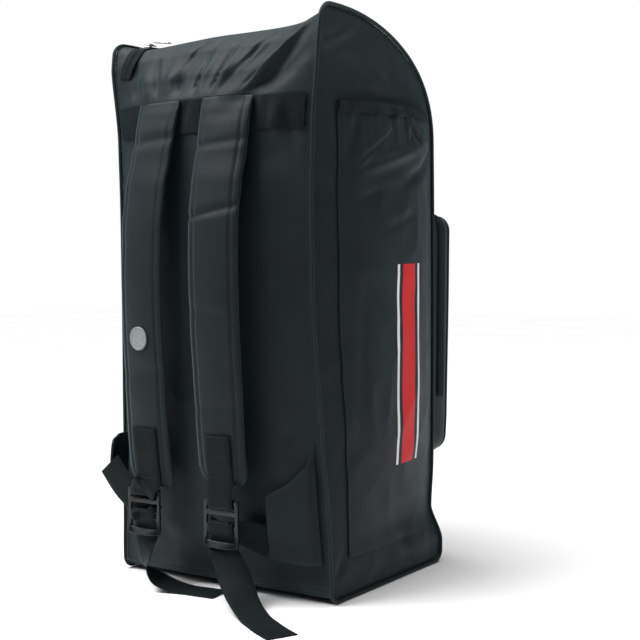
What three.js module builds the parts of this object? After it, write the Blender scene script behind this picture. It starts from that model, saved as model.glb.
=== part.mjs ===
import * as THREE from 'three';
import { mergeVertices } from 'three/addons/utils/BufferGeometryUtils.js';

// Cricket kit bag, in millimetres, +Z up. It stands on its base at z = 0, with the shoulder
// straps on its -Y side and the front pocket on its +Y side.

// Body
const HEIGHT = 874;
const WIDTH = 406;
const DEPTH = 318;
const SHOULDER_HEIGHT = 690;
const CROWN_CURVE = 2.08;
const CORNER_RADIUS = 15;
const RIDGE_RADIUS = 20;
const RIDGE_LAND = 3;
const BASE_RISE = 6;
const DENT_FADE = 60;
const SEAM_HEIGHT = 752;
const WALL = 2.6;
const CLOTH = 1.6;
const GAP = 0.35;
const SEAM_ALLOWANCE = 1.4;
const PIPING_RADIUS = 3;
const LEFT_SLUMP = 24;
const SLUMP_HEIGHT = 700;

// Band and lid zip
const YOKE_HEIGHT = 50;
const YOKE_INSET = 9;
const YOKE_DROP = 3;
const YOKE_LIFT = 1.5;
const ZIP_WIDTH = 26;
const ZIP_THICK = 1.6;
const ZIP_LIFT = 2.6;
const SLIDER_LENGTH = 20;
const SLIDER_WIDTH = 12;
const SLIDER_THICK = 7;
const PULLER_LENGTH = 34;
const PULLER_WIDTH = 9;
const PULLER_THICK = 2.4;

// Side pocket
const POCKET_MOUTH_HEIGHT = 740;
const POCKET_FOOT_HEIGHT = 64;
const POCKET_SLACK = 15;
const POCKET_CLEARANCE = 1.05;
const ELASTIC_HEIGHT = 16;
const ELASTIC_THICK = 3;

// Front pocket
const FRONT_POCKET_FOOT = 176;
const FRONT_POCKET_HEAD = 574;
const FRONT_POCKET_MARGIN = 22;
const FRONT_POCKET_DEPTH = 70;
const FRONT_POCKET_FOOT_DEPTH = 58;
const FRONT_POCKET_LIFT = 1.8;
const FRONT_ZIP_WIDTH = 19.5;
const FRONT_ZIP_CLEARANCE = 1;
const FRONT_POCKET_CORNER = 26;
const FRONT_POCKET_EDGE = 9;
const FRONT_PIPING_RADIUS = 2.4;

// Straps, webbing and buckles
const STRAP_WIDTH = 86;
const STRAP_THICK = 14;
const STRAP_STANDOFF = 30;
const STRAP_SEATING = { left: 0, right: 1.2 };
const STRAP_TOP = 749;
const STRAP_FOOT = { left: 160, right: 178 };
const WEB_WIDTH = 48;
const WEB_THICK = 2;
const WEB_LIFT = 0.8;
const FLOOR_CLEARANCE = 0.1;
const BUCKLE_CLEARANCE = 0.8;
const PATCH_TOP = 252;
const BUCKLE_WIDTH = 64;
const BUCKLE_HEIGHT = 71;
const BUCKLE_THICK = 5;
const BUCKLE_RAIL = 5.5;
const BUCKLE_TOP = 156;
const LEFT_TAIL_REACH = 130;
const RIGHT_TAIL_REACH = 175;
const WING_THICK = 3;
const WING_CLEARANCE = 1.6;
const BADGE_RADIUS = 18;
const BADGE_THICK = 1.4;
const BADGE_HEIGHT = 390;

// How far the four upright edges are pulled in sideways and out in depth by the filling,
// as shares of WIDTH and DEPTH, at shares of HEIGHT
const EDGE_PULL = [
  { at: 0.0, rearIn: 0.0, rearOut: 0.0, frontIn: 0.0, frontOut: 0.0 },
  { at: 0.045, rearIn: 0.0, rearOut: 0.0, frontIn: 0.0, frontOut: 0.0 },
  { at: 0.105, rearIn: 0.004, rearOut: 0.0, frontIn: 0.038, frontOut: -0.028 },
  { at: 0.19, rearIn: 0.012, rearOut: 0.008, frontIn: 0.042, frontOut: 0.006 },
  { at: 0.27, rearIn: 0.024, rearOut: 0.016, frontIn: 0.044, frontOut: 0.022 },
  { at: 0.51, rearIn: 0.047, rearOut: 0.038, frontIn: 0.044, frontOut: 0.032 },
  { at: 0.68, rearIn: 0.049, rearOut: 0.038, frontIn: 0.044, frontOut: 0.032 },
  { at: 0.8, rearIn: 0.042, rearOut: 0.034, frontIn: 0.042, frontOut: 0.026 },
  { at: 0.94, rearIn: 0.014, rearOut: 0.034, frontIn: 0.018, frontOut: 0.0 },
  { at: 1.0, rearIn: 0.01, rearOut: 0.014, frontIn: 0.01, frontOut: -0.014 },
];

// How far the middle of each face swells out, as shares of DEPTH or WIDTH, and sags down,
// as shares of HEIGHT, at shares of HEIGHT
const REAR_FILL = [
  { at: 0.0, out: 0.0, drop: 0.0 },
  { at: 0.04, out: 0.045, drop: 0.0 },
  { at: 0.11, out: 0.09, drop: 0.0 },
  { at: 0.3, out: 0.12, drop: 0.0 },
  { at: 0.6, out: 0.12, drop: 0.0 },
  { at: 0.8, out: 0.105, drop: 0.0 },
  { at: 0.855, out: 0.088, drop: 0.0 },
  { at: 0.9, out: 0.045, drop: 0.002 },
  { at: 0.95, out: -0.015, drop: 0.008 },
  { at: 0.985, out: -0.055, drop: 0.018 },
  { at: 1.0, out: -0.075, drop: 0.024 },
];
const FRONT_FILL = [
  { at: 0.0, out: 0.0, drop: 0.0 },
  { at: 0.05, out: 0.02, drop: 0.0 },
  { at: 0.2, out: 0.035, drop: 0.0 },
  { at: 0.6, out: 0.035, drop: 0.0 },
  { at: 0.78, out: 0.035, drop: 0.002 },
  { at: 0.88, out: 0.035, drop: 0.008 },
  { at: 0.95, out: 0.045, drop: 0.016 },
  { at: 0.985, out: 0.065, drop: 0.022 },
  { at: 1.0, out: 0.075, drop: 0.024 },
];
const SIDE_FILL = [
  { at: 0.0, out: 0.0 },
  { at: 0.05, out: 0.018 },
  { at: 0.11, out: 0.03 },
  { at: 0.3, out: 0.062 },
  { at: 0.6, out: 0.07 },
  { at: 0.78, out: 0.058 },
  { at: 0.88, out: 0.034 },
  { at: 0.96, out: 0.008 },
  { at: 1.0, out: 0.0 },
];

// Folds and dents: middle and reach as shares of half the width (across) and of HEIGHT (up),
// lean as across per up, depth as a share of DEPTH, positive outwards
const REAR_FOLDS = [
  { across: 0.58, up: 0.912, lean: 5.5, wide: 0.13, tall: 0.05, depth: 0.022 },
  { across: 0.75, up: 0.9, lean: 5.5, wide: 0.12, tall: 0.05, depth: -0.03 },
  { across: 0.2, up: 0.905, lean: 4.0, wide: 0.1, tall: 0.04, depth: 0.014 },
  { across: -0.2, up: 0.905, lean: 3.0, wide: 0.1, tall: 0.04, depth: -0.012 },
  { across: -0.55, up: 0.9, lean: 1.5, wide: 0.1, tall: 0.04, depth: 0.012 },
  { across: 0.7, up: 0.76, lean: 0.0, wide: 0.16, tall: 0.03, depth: -0.02 },
];
const SIDE_DENTS = [
  { across: -0.7, up: 0.945, lean: 0.0, wide: 0.35, tall: 0.03, depth: -0.024 },
  { across: 0.1, up: 0.86, lean: 0.0, wide: 0.6, tall: 0.012, depth: -0.014 },
  { across: 0.2, up: 0.11, lean: 0.0, wide: 0.6, tall: 0.025, depth: -0.014 },
];

// Columns of the face grids, as shares of the half width
const WRAP_COLUMNS = [-1, -0.94, -0.8, -0.6, -0.4, -0.2, 0, 0.2, 0.4, 0.6, 0.8, 0.94, 1];
const SIDE_COLUMNS = [-1, -0.86, -0.58, -0.25, 0.08, 0.4, 0.7, 0.9, 1];
const CORNER_STEPS = 3;
const BASE_STEPS = 6;
const CROWN_STEPS = 11;
const WALL_ROWS = [0.07, 0.105, 0.15, 0.2, 0.27, 0.34, 0.42, 0.51, 0.6, 0.68, 0.74];

const NYLON = { color: 0x1c2124, roughness: 0.62, metalness: 0.0 };
const WEBBING = { color: 0x15191b, roughness: 0.8, metalness: 0.0 };
const PLASTIC = { color: 0x0d0f10, roughness: 0.3, metalness: 0.0 };
const METAL = { color: 0xb9bcbf, roughness: 0.25, metalness: 0.9 };
const GREY_RUBBER = { color: 0x7d8385, roughness: 0.6, metalness: 0.0 };

const bag = new THREE.Group();

function vec(x, y, z) {
  return new THREE.Vector3(x, y, z);
}

function mix(a, b, share) {
  return a + (b - a) * share;
}

// A smooth value of one column of a table, between its rows.
function lookup(table, at, column) {
  if (at <= table[0].at) return table[0][column];
  for (let i = 1; i < table.length; i += 1) {
    if (at <= table[i].at) {
      const share = (at - table[i - 1].at) / (table[i].at - table[i - 1].at);
      const eased = share * share * (3 - 2 * share);
      return mix(table[i - 1][column], table[i][column], mix(share, eased, 0.5));
    }
  }
  return table[table.length - 1][column];
}

function foldsAt(folds, across, up) {
  let sum = 0;
  for (const fold of folds) {
    const rise = up - fold.up;
    const a = (across - fold.across - fold.lean * rise) / fold.wide;
    const b = rise / fold.tall;
    sum += fold.depth * Math.exp(-a * a - b * b);
  }
  return sum;
}

// The half-filled bag has slumped at its left top corner: how far a place has come down.
function slumpAt(x, z) {
  const side = Math.min(1, Math.max(0, -x / (WIDTH / 2)));
  const rise = Math.max(0, (z - SLUMP_HEIGHT) / (HEIGHT - SLUMP_HEIGHT));
  return LEFT_SLUMP * (side * rise) ** 1.5;
}

function addMesh(name, geometry, look) {
  geometry.deleteAttribute('normal');
  geometry.deleteAttribute('uv');
  const places = geometry.getAttribute('position');
  for (let i = 0; i < places.count; i += 1) {
    places.setZ(i, places.getZ(i) - slumpAt(places.getX(i), places.getZ(i)));
  }
  const closed = mergeVertices(geometry, 1e-4);
  closed.computeVertexNormals();
  const mesh = new THREE.Mesh(closed, new THREE.MeshStandardMaterial(look));
  mesh.name = name;
  bag.add(mesh);
  return mesh;
}

// Vertices and faces of a closed body. Its faces are turned over if they point inwards.
function solidGeometry(points, faces) {
  let volume = 0;
  const cross = vec(0, 0, 0);
  for (const [a, b, c] of faces) {
    volume += cross.crossVectors(points[b], points[c]).dot(points[a]);
  }
  const index = faces.flatMap(([a, b, c]) => (volume < 0 ? [a, c, b] : [a, b, c]));
  const geometry = new THREE.BufferGeometry();
  const flat = points.flatMap((p) => [p.x, p.y, p.z]);
  geometry.setAttribute('position', new THREE.Float32BufferAttribute(flat, 3));
  geometry.setIndex(index);
  return geometry;
}

// Unit normals of a grid. A looped grid runs back into its first row.
function gridNormals(grid, outward, looped) {
  const last = grid.length - 1;
  return grid.map((row, i) => row.map((point, j) => {
    const down = looped ? grid[(i + last) % grid.length][j] : grid[Math.max(i - 1, 0)][j];
    const up = looped ? grid[(i + 1) % grid.length][j] : grid[Math.min(i + 1, last)][j];
    const left = row[Math.max(j - 1, 0)];
    const right = row[Math.min(j + 1, row.length - 1)];
    const across = right.clone().sub(left);
    const normal = vec(0, 0, 0).crossVectors(across, up.clone().sub(down)).normalize();
    return normal.multiplyScalar(outward);
  }));
}

// A grid of points as a sheet. The points are its outer face, and its inner face lies
// one thickness behind them.
function sheetGeometry(grid, thickness, normals) {
  const rows = grid.length;
  const columns = grid[0].length;
  const outer = grid.flat();
  const directions = normals.flat();
  const inner = outer.map((p, k) => p.clone().addScaledVector(directions[k], -thickness));
  const points = [...outer, ...inner];
  const faces = [];
  const quad = (a, b, c, d) => faces.push([a, b, c], [a, c, d]);
  const back = rows * columns;
  for (let i = 0; i < rows - 1; i += 1) {
    for (let j = 0; j < columns - 1; j += 1) {
      const a = i * columns + j;
      quad(a, a + 1, a + columns + 1, a + columns);
      quad(back + a, back + a + columns, back + a + columns + 1, back + a + 1);
    }
  }
  const rim = [];
  for (let j = 0; j < columns; j += 1) rim.push(j);
  for (let i = 1; i < rows; i += 1) rim.push(i * columns + columns - 1);
  for (let j = columns - 2; j >= 0; j -= 1) rim.push((rows - 1) * columns + j);
  for (let i = rows - 2; i > 0; i -= 1) rim.push(i * columns);
  rim.forEach((a, k) => {
    const b = rim[(k + 1) % rim.length];
    quad(a, back + a, back + b, b);
  });
  return solidGeometry(points, faces);
}

// Rings of equal length as a body, with flat ends or closed round into itself.
function ringsGeometry(rings, closed) {
  const sides = rings[0].length;
  const points = rings.flat();
  const faces = [];
  const last = closed ? rings.length : rings.length - 1;
  for (let i = 0; i < last; i += 1) {
    const next = (i + 1) % rings.length;
    for (let k = 0; k < sides; k += 1) {
      const a = i * sides + k;
      const b = i * sides + ((k + 1) % sides);
      const c = next * sides + ((k + 1) % sides);
      const d = next * sides + k;
      faces.push([a, b, c], [a, c, d]);
    }
  }
  if (!closed) {
    const end = (rings.length - 1) * sides;
    for (let k = 1; k < sides - 1; k += 1) {
      faces.push([0, k + 1, k], [end, end + k, end + k + 1]);
    }
  }
  return solidGeometry(points, faces);
}

// Side outline. Each node has its height, its depth position and its share of the row's
// height, and belongs to the rear edge, the base or the front edge.
const REAR = -DEPTH / 2;
const FRONT = DEPTH / 2;
const TOP_LAND = REAR + RIDGE_RADIUS + RIDGE_LAND;

function rearEdge(z) {
  const share = z / HEIGHT;
  const low = Math.max(0, BASE_RISE + CORNER_RADIUS - z) / CORNER_RADIUS;
  const high = Math.max(0, z - (HEIGHT - RIDGE_RADIUS)) / RIDGE_RADIUS;
  const rounding = CORNER_RADIUS * (1 - Math.sqrt(Math.max(0, 1 - low * low)))
    + RIDGE_RADIUS * (1 - Math.sqrt(Math.max(0, 1 - high * high)));
  return {
    x: WIDTH * (0.5 - lookup(EDGE_PULL, share, 'rearIn')),
    y: REAR + rounding - DEPTH * lookup(EDGE_PULL, share, 'rearOut'),
    z,
  };
}

function frontEdge(z) {
  const share = z / HEIGHT;
  const low = Math.max(0, BASE_RISE + CORNER_RADIUS - z) / CORNER_RADIUS;
  const rise = Math.min(1, Math.max(0, z - SHOULDER_HEIGHT) / (HEIGHT - SHOULDER_HEIGHT));
  const crown = Math.max(0, 1 - rise ** CROWN_CURVE) ** (1 / CROWN_CURVE);
  const rounding = CORNER_RADIUS * (1 - Math.sqrt(Math.max(0, 1 - low * low)));
  return {
    x: WIDTH * (0.5 - lookup(EDGE_PULL, share, 'frontIn')),
    y: mix(TOP_LAND, FRONT, crown) - rounding + DEPTH * lookup(EDGE_PULL, share, 'frontOut'),
    z,
  };
}

const cornerHeights = [];
for (let i = 1; i <= CORNER_STEPS; i += 1) {
  const turn = (Math.PI / 2) * (i / CORNER_STEPS);
  cornerHeights.push(BASE_RISE + CORNER_RADIUS * (1 - Math.cos(turn)));
}
const wallHeights = WALL_ROWS.map((share) => share * HEIGHT);
const crownHeights = [];
for (let i = 0; i <= CROWN_STEPS; i += 1) {
  const turn = (Math.PI / 2) * (i / CROWN_STEPS);
  crownHeights.push(SHOULDER_HEIGHT + (HEIGHT - SHOULDER_HEIGHT) * Math.sin(turn) ** (2 / CROWN_CURVE));
}
const ROWS = [...cornerHeights, ...wallHeights, ...crownHeights, SEAM_HEIGHT]
  .sort((a, b) => a - b);

// The points of the wrap that runs round the bag between its sides, one row of the
// outline after another: the base from rear to front, the front up to the ridge, and the
// back down again.
function wrapRearRow(z) {
  const edge = rearEdge(z);
  const share = z / HEIGHT;
  return (across) => {
    const swell = 1 - Math.abs(across) ** 2.4;
    const sag = 1 - Math.abs(across) ** 7;
    const fold = foldsAt(REAR_FOLDS, across, share) * swell;
    const out = lookup(REAR_FILL, share, 'out') * swell + fold;
    const drop = lookup(REAR_FILL, share, 'drop') * sag;
    return vec(edge.x * across, edge.y - DEPTH * out, z - HEIGHT * drop);
  };
}

function wrapFrontRow(z) {
  const edge = frontEdge(z);
  const share = z / HEIGHT;
  return (across) => {
    const swell = 1 - Math.abs(across) ** 3;
    const sag = 1 - Math.abs(across) ** 7;
    const out = lookup(FRONT_FILL, share, 'out') * swell;
    const drop = lookup(FRONT_FILL, share, 'drop') * sag;
    return vec(edge.x * across, edge.y + DEPTH * out, z - HEIGHT * drop);
  };
}

function wrapBaseRow(along) {
  const reach = DEPTH / 2 - CORNER_RADIUS;
  return (across) => {
    const flat = (1 - Math.abs(across) ** 10) * (1 - Math.abs(along) ** 10);
    return vec((WIDTH / 2) * across, reach * along, BASE_RISE * (1 - flat));
  };
}

const wrapInset = WALL + SEAM_ALLOWANCE;
const seamGap = GAP / 2 + 0.1;
const cornerTop = cornerHeights[CORNER_STEPS - 1];
const between = (low, high) => ROWS.filter((z) => z >= low - 1e-6 && z <= high + 1e-6);

const wrapRows = [];
const seamAt = {};
for (const z of [...cornerHeights].reverse()) wrapRows.push(wrapRearRow(z));
for (let i = 0; i <= BASE_STEPS; i += 1) wrapRows.push(wrapBaseRow(mix(-1, 1, i / BASE_STEPS)));
for (const z of cornerHeights) wrapRows.push(wrapFrontRow(z));
seamAt.baseFront = wrapRows.length - 1;
for (const z of between(cornerTop, SHOULDER_HEIGHT).slice(1)) wrapRows.push(wrapFrontRow(z));
seamAt.frontLid = wrapRows.length - 1;
for (const z of crownHeights.slice(1)) wrapRows.push(wrapFrontRow(z));
const rearDown = between(SEAM_HEIGHT, HEIGHT).reverse();
for (const z of rearDown) wrapRows.push(wrapRearRow(z));
seamAt.lidBack = wrapRows.length - 1;
const rearLow = between(cornerTop, SEAM_HEIGHT).reverse().slice(1, -1);
for (const z of rearLow) wrapRows.push(wrapRearRow(z));

const wrapGrid = wrapRows.map((row) => WRAP_COLUMNS.map((across) => {
  return row(across * (1 - wrapInset / row(1).x));
}));
const wrapNormals = gridNormals(wrapGrid, -1, true);

// A panel of the wrap from one of its rows to another. Its ends are drawn back a little
// from the panels that it meets.
function addPanel(name, first, last) {
  const rows = [];
  for (let i = first; i <= last; i += 1) rows.push(i % wrapGrid.length);
  const grid = rows.map((i) => wrapGrid[i]);
  const normals = rows.map((i) => wrapNormals[i]);
  const trim = (edgeRow, nextRow) => edgeRow.map((point, j) => {
    const step = nextRow[j].clone().sub(point);
    return point.clone().addScaledVector(step.normalize(), seamGap);
  });
  const end = grid.length - 1;
  const start = trim(grid[0], grid[1]);
  grid[end] = trim(grid[end], grid[end - 1]);
  grid[0] = start;
  addMesh(name, sheetGeometry(grid, WALL, normals), NYLON);
}

addPanel('base_panel', 0, seamAt.baseFront);
addPanel('front_panel', seamAt.baseFront, seamAt.frontLid);
addPanel('lid_panel', seamAt.frontLid, seamAt.lidBack);
addPanel('back_panel', seamAt.lidBack, wrapGrid.length);

// Height of the crown's edge at a place along the depth.
function crownAbove(y) {
  const along = Math.min(1, Math.max(0, (y - TOP_LAND) / (FRONT - TOP_LAND)));
  return mix(SHOULDER_HEIGHT, HEIGHT, (1 - along ** CROWN_CURVE) ** (1 / CROWN_CURVE));
}

// Points of a side: across runs from the rear edge to the front edge. Dents fade out
// towards the crown's edge.
function sidePoint(z, across, lift) {
  const rear = rearEdge(z);
  const front = frontEdge(z);
  const share = z / HEIGHT;
  const along = (across + 1) / 2;
  const y = mix(rear.y, front.y, along);
  const fade = Math.min(1, Math.max(0, (crownAbove(y) - z) / DENT_FADE));
  const swell = 1 - Math.abs(across) ** 2.6;
  const dent = DEPTH * foldsAt(SIDE_DENTS, across, share) * fade * fade;
  const out = WIDTH * lookup(SIDE_FILL, share, 'out') + dent;
  return vec(mix(rear.x, front.x, along) + out * swell + lift, y, z);
}

function mirrored(grid) {
  return grid.map((row) => row.map((point) => vec(-point.x, point.y, point.z)));
}

const edgeHeights = ROWS.filter((z) => z !== SEAM_HEIGHT);
const sideHeights = [BASE_RISE, ...edgeHeights];
const sideGrid = sideHeights.map((z) => SIDE_COLUMNS.map((across) => sidePoint(z, across, 0)));

// A side sheet has its thickness straight across the bag, which keeps its rim inside the
// piping where the rows run together at the ridge.
function addSideSheet(name, grid, thickness, outward, look) {
  const normals = grid.map((row) => row.map(() => vec(outward, 0, 0)));
  addMesh(name, sheetGeometry(grid, thickness, normals), look);
}

addSideSheet('side_panel_right', sideGrid, WALL, 1, NYLON);
addSideSheet('side_panel_left', mirrored(sideGrid), WALL, -1, NYLON);

// Piping round a side: it lies against the corner between the side and the wrap.
function outlineNodes() {
  const nodes = [];
  const baseReach = DEPTH / 2 - CORNER_RADIUS;
  for (let i = 0; i <= BASE_STEPS; i += 1) {
    nodes.push(vec(WIDTH / 2, mix(-baseReach, baseReach, i / BASE_STEPS), BASE_RISE));
  }
  const edges = (edge) => vec(edge.x, edge.y, edge.z);
  edgeHeights.forEach((z) => nodes.push(edges(frontEdge(z))));
  [...edgeHeights].reverse().forEach((z) => nodes.push(edges(rearEdge(z))));
  return nodes;
}

function pipingRings(nodes, radius, sides) {
  return nodes.map((node, i) => {
    const before = nodes[(i + nodes.length - 1) % nodes.length];
    const after = nodes[(i + 1) % nodes.length];
    const along = after.clone().sub(before).normalize();
    const side = vec(1, 0, 0).addScaledVector(along, -along.x).normalize();
    const out = vec(0, 0, 0).crossVectors(along, side);
    const offset = (radius + GAP) / Math.SQRT2;
    const centre = node.clone().addScaledVector(side, offset).addScaledVector(out, offset);
    const ring = [];
    for (let k = 0; k < sides; k += 1) {
      const turn = (2 * Math.PI * (k + 0.5)) / sides;
      const spoke = side.clone().multiplyScalar(Math.cos(turn)).addScaledVector(out, Math.sin(turn));
      ring.push(centre.clone().addScaledVector(spoke, radius));
    }
    return ring;
  });
}

const pipingSides = 6;
const pipingGrid = pipingRings(outlineNodes(), PIPING_RADIUS, pipingSides);
addMesh('side_piping_right', ringsGeometry(pipingGrid, true), NYLON);
addMesh('side_piping_left', ringsGeometry(mirrored(pipingGrid), true), NYLON);

// Outer face of the back at a place on it.
function rearFace(x, z) {
  const edge = rearEdge(z);
  return wrapRearRow(z)(Math.max(-1, Math.min(1, x / edge.x)));
}

function frontFace(x, z) {
  const edge = frontEdge(z);
  return wrapFrontRow(z)(Math.max(-1, Math.min(1, x / edge.x)));
}

// Webbing across the back under the seam.
const YOKE_ROWS = 4;
const yokeGrid = [];
for (let i = 0; i <= YOKE_ROWS; i += 1) {
  const z = SEAM_HEIGHT - YOKE_DROP - YOKE_HEIGHT * (i / YOKE_ROWS);
  const half = rearEdge(z).x - YOKE_INSET;
  yokeGrid.push(WRAP_COLUMNS.map((across) => {
    const point = rearFace(half * across, z);
    point.y -= YOKE_LIFT + CLOTH;
    return point;
  }));
}
addMesh('yoke_band', sheetGeometry(yokeGrid, CLOTH, gridNormals(yokeGrid, -1)), WEBBING);

// A ribbon through sections: each has its middle, the direction of its width, its width
// and its thickness.
function ribbonRings(sections) {
  return sections.map((section, i) => {
    const before = sections[Math.max(i - 1, 0)].at;
    const after = sections[Math.min(i + 1, sections.length - 1)].at;
    const along = after.clone().sub(before).normalize();
    const wide = section.wide.clone().normalize();
    const thick = vec(0, 0, 0).crossVectors(along, wide).normalize();
    const corner = (a, b) => section.at.clone()
      .addScaledVector(wide, (a * section.width) / 2)
      .addScaledVector(thick, (b * section.thickness) / 2);
    return [corner(-1, -1), corner(1, -1), corner(1, 1), corner(-1, 1)];
  });
}

// A place on the wrap, lifted off it, with the direction that points away from the bag.
function liftedPlace(rowOf, z, across, lift) {
  const point = rowOf(z)(across);
  const beside = rowOf(z)(across + 0.02).sub(point);
  const below = rowOf(z - 2)(across).sub(point);
  const normal = vec(0, 0, 0).crossVectors(beside, below).normalize();
  const outward = point.clone().sub(vec(0, 0, SHOULDER_HEIGHT));
  if (normal.dot(outward) < 0) normal.negate();
  return { at: point.addScaledVector(normal, lift), normal };
}

function stripSections(places, width, thickness) {
  return places.map((place, i) => {
    const before = places[Math.max(i - 1, 0)].at;
    const after = places[Math.min(i + 1, places.length - 1)].at;
    const along = after.clone().sub(before).normalize();
    const wide = vec(0, 0, 0).crossVectors(place.normal, along).normalize();
    return { at: place.at, wide, width, thickness };
  });
}

// Lid zip: it starts low on the back near the left edge, climbs over the ridge, follows
// the crown, crosses the front above its pocket and comes back up on the right.
const ZIP_CROWN = { across: 0.8 };
const ZIP_REAR_START = { across: -0.88, at: 0.92 };
const ZIP_FRONT_TURN = [
  { across: 0.8, at: 0.74 },
  { across: 0.8, at: 0.722 },
  { across: 0.762, at: 0.705 },
  { across: 0.68, at: 0.7 },
  { across: 0.4, at: 0.7 },
  { across: 0.13, at: 0.7 },
];
const zipPlaces = [];
const zipRearHeights = between(ZIP_REAR_START.at * HEIGHT, HEIGHT);
for (const z of zipRearHeights) {
  const climbed = (z - ZIP_REAR_START.at * HEIGHT) / (HEIGHT * (1 - ZIP_REAR_START.at));
  const across = mix(ZIP_REAR_START.across, -ZIP_CROWN.across, climbed);
  zipPlaces.push(liftedPlace(wrapRearRow, z, across, ZIP_LIFT));
}
const ridgePlace = zipPlaces.length;
for (const z of [...crownHeights].reverse()) {
  zipPlaces.push(liftedPlace(wrapFrontRow, z, -ZIP_CROWN.across, ZIP_LIFT));
}
for (const row of ZIP_FRONT_TURN) {
  zipPlaces.push(liftedPlace(wrapFrontRow, row.at * HEIGHT, -row.across, ZIP_LIFT));
}
for (const row of [...ZIP_FRONT_TURN].reverse()) {
  zipPlaces.push(liftedPlace(wrapFrontRow, row.at * HEIGHT, row.across, ZIP_LIFT));
}
for (const z of crownHeights.slice(0, -2)) {
  zipPlaces.push(liftedPlace(wrapFrontRow, z, ZIP_CROWN.across, ZIP_LIFT));
}
const zipSections = stripSections(zipPlaces, ZIP_WIDTH, ZIP_THICK);
addMesh('lid_zip', ringsGeometry(ribbonRings(zipSections), false), WEBBING);

// A box with its length, width and thickness turned to the given directions.
function addTurnedBox(name, size, at, along, normal, look) {
  const geometry = new THREE.BoxGeometry(size.length, size.width, size.thick);
  const x = along.clone().normalize();
  const z = normal.clone().addScaledVector(x, -normal.dot(x)).normalize();
  const y = vec(0, 0, 0).crossVectors(z, x);
  const turn = new THREE.Matrix4().makeBasis(x, y, z).setPosition(at);
  geometry.applyMatrix4(turn);
  addMesh(name, geometry, look);
}

// Slider on the zip at the ridge, with its puller lying to the right along it.
const sliderPlace = zipPlaces[ridgePlace];
const sliderNext = zipPlaces[ridgePlace + 1];
const sliderRise = ZIP_THICK / 2 + GAP + SLIDER_THICK / 2;
const sliderAt = sliderPlace.at.clone().addScaledVector(sliderPlace.normal, sliderRise);
addTurnedBox('zip_slider', { length: SLIDER_LENGTH, width: SLIDER_WIDTH, thick: SLIDER_THICK },
  sliderAt, sliderNext.at.clone().sub(sliderPlace.at), sliderPlace.normal, METAL);
const pullerOut = SLIDER_WIDTH / 2 + GAP * 2 + PULLER_LENGTH / 2;
addTurnedBox('zip_puller', { length: PULLER_LENGTH, width: PULLER_WIDTH, thick: PULLER_THICK },
  sliderAt.clone().add(vec(pullerOut, 0, 0)), vec(1, 0, -0.12), sliderPlace.normal, METAL);

// Slip pocket on the right side: it lies on the side at its rear, front and foot, and its
// mouth stands open along the elastic.
const SLIP_LIFT = CLOTH + POCKET_CLEARANCE;
const SLIP_COLUMNS = [-0.735, -0.66, -0.45, -0.2, 0.05, 0.3, 0.55, 0.75, 0.82];
const SLIP_ROWS = [0, 0.12, 0.28, 0.44, 0.6, 0.74, 0.86, 0.95, 1];
const slipFirst = SLIP_COLUMNS[0];
const slipLast = SLIP_COLUMNS[SLIP_COLUMNS.length - 1];

function slipPoint(z, across, lift) {
  const up = (z - POCKET_FOOT_HEIGHT) / (POCKET_MOUTH_HEIGHT - POCKET_FOOT_HEIGHT);
  const middle = (2 * (across - slipFirst)) / (slipLast - slipFirst) - 1;
  const slack = POCKET_SLACK * (1 - Math.abs(middle) ** 2.5) * mix(0.25 * Math.min(1, up * 4), 1, up ** 3);
  return sidePoint(z, across, lift + slack);
}

const slipGrid = SLIP_ROWS.map((share) => {
  const z = mix(POCKET_FOOT_HEIGHT, POCKET_MOUTH_HEIGHT, share);
  return SLIP_COLUMNS.map((across) => slipPoint(z, across, SLIP_LIFT));
});
addSideSheet('side_pocket', slipGrid, CLOTH, 1, NYLON);

const elasticLift = SLIP_LIFT + GAP + ELASTIC_THICK;
const elasticGrid = [POCKET_MOUTH_HEIGHT - ELASTIC_HEIGHT, POCKET_MOUTH_HEIGHT].map((z) => {
  return SLIP_COLUMNS.map((across) => slipPoint(z, across, elasticLift));
});
addSideSheet('side_pocket_elastic', elasticGrid, ELASTIC_THICK, 1, WEBBING);

// Front pocket: a tray of cloth whose rings run round it, from the middle of its face out
// to the panel and back inside.
const POCKET_TURNS = 4;
const POCKET_STRAIGHTS = 4;
const FRONT_POCKET_WIDTH = WIDTH - 2 * FRONT_POCKET_MARGIN;

// Places round a rounded rectangle, drawn in by inset: x, z and the outward direction.
function pocketOutline(inset) {
  const halfWidth = FRONT_POCKET_WIDTH / 2 - inset;
  const middle = (FRONT_POCKET_HEAD + FRONT_POCKET_FOOT) / 2;
  const halfHeight = (FRONT_POCKET_HEAD - FRONT_POCKET_FOOT) / 2 - inset;
  const radius = Math.max(FRONT_POCKET_CORNER - inset, 6);
  const corners = [[1, 1], [-1, 1], [-1, -1], [1, -1]];
  const places = [];
  corners.forEach(([sx, sz], quarter) => {
    for (let i = 0; i <= POCKET_TURNS; i += 1) {
      const turn = (Math.PI / 2) * (quarter + i / POCKET_TURNS);
      places.push({
        x: sx * (halfWidth - radius) + radius * Math.cos(turn),
        z: middle + sz * (halfHeight - radius) + radius * Math.sin(turn),
        outX: Math.cos(turn),
        outZ: Math.sin(turn),
      });
    }
  });
  const filled = [];
  places.forEach((place, i) => {
    filled.push(place);
    if (i % (POCKET_TURNS + 1) !== POCKET_TURNS) return;
    const next = places[(i + 1) % places.length];
    for (let k = 1; k < POCKET_STRAIGHTS; k += 1) {
      const share = k / POCKET_STRAIGHTS;
      filled.push({ ...place, x: mix(place.x, next.x, share), z: mix(place.z, next.z, share) });
    }
  });
  return filled;
}

function pocketDepthAt(z) {
  const up = (z - FRONT_POCKET_FOOT) / (FRONT_POCKET_HEAD - FRONT_POCKET_FOOT);
  return mix(FRONT_POCKET_FOOT_DEPTH, FRONT_POCKET_DEPTH, up);
}

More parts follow.
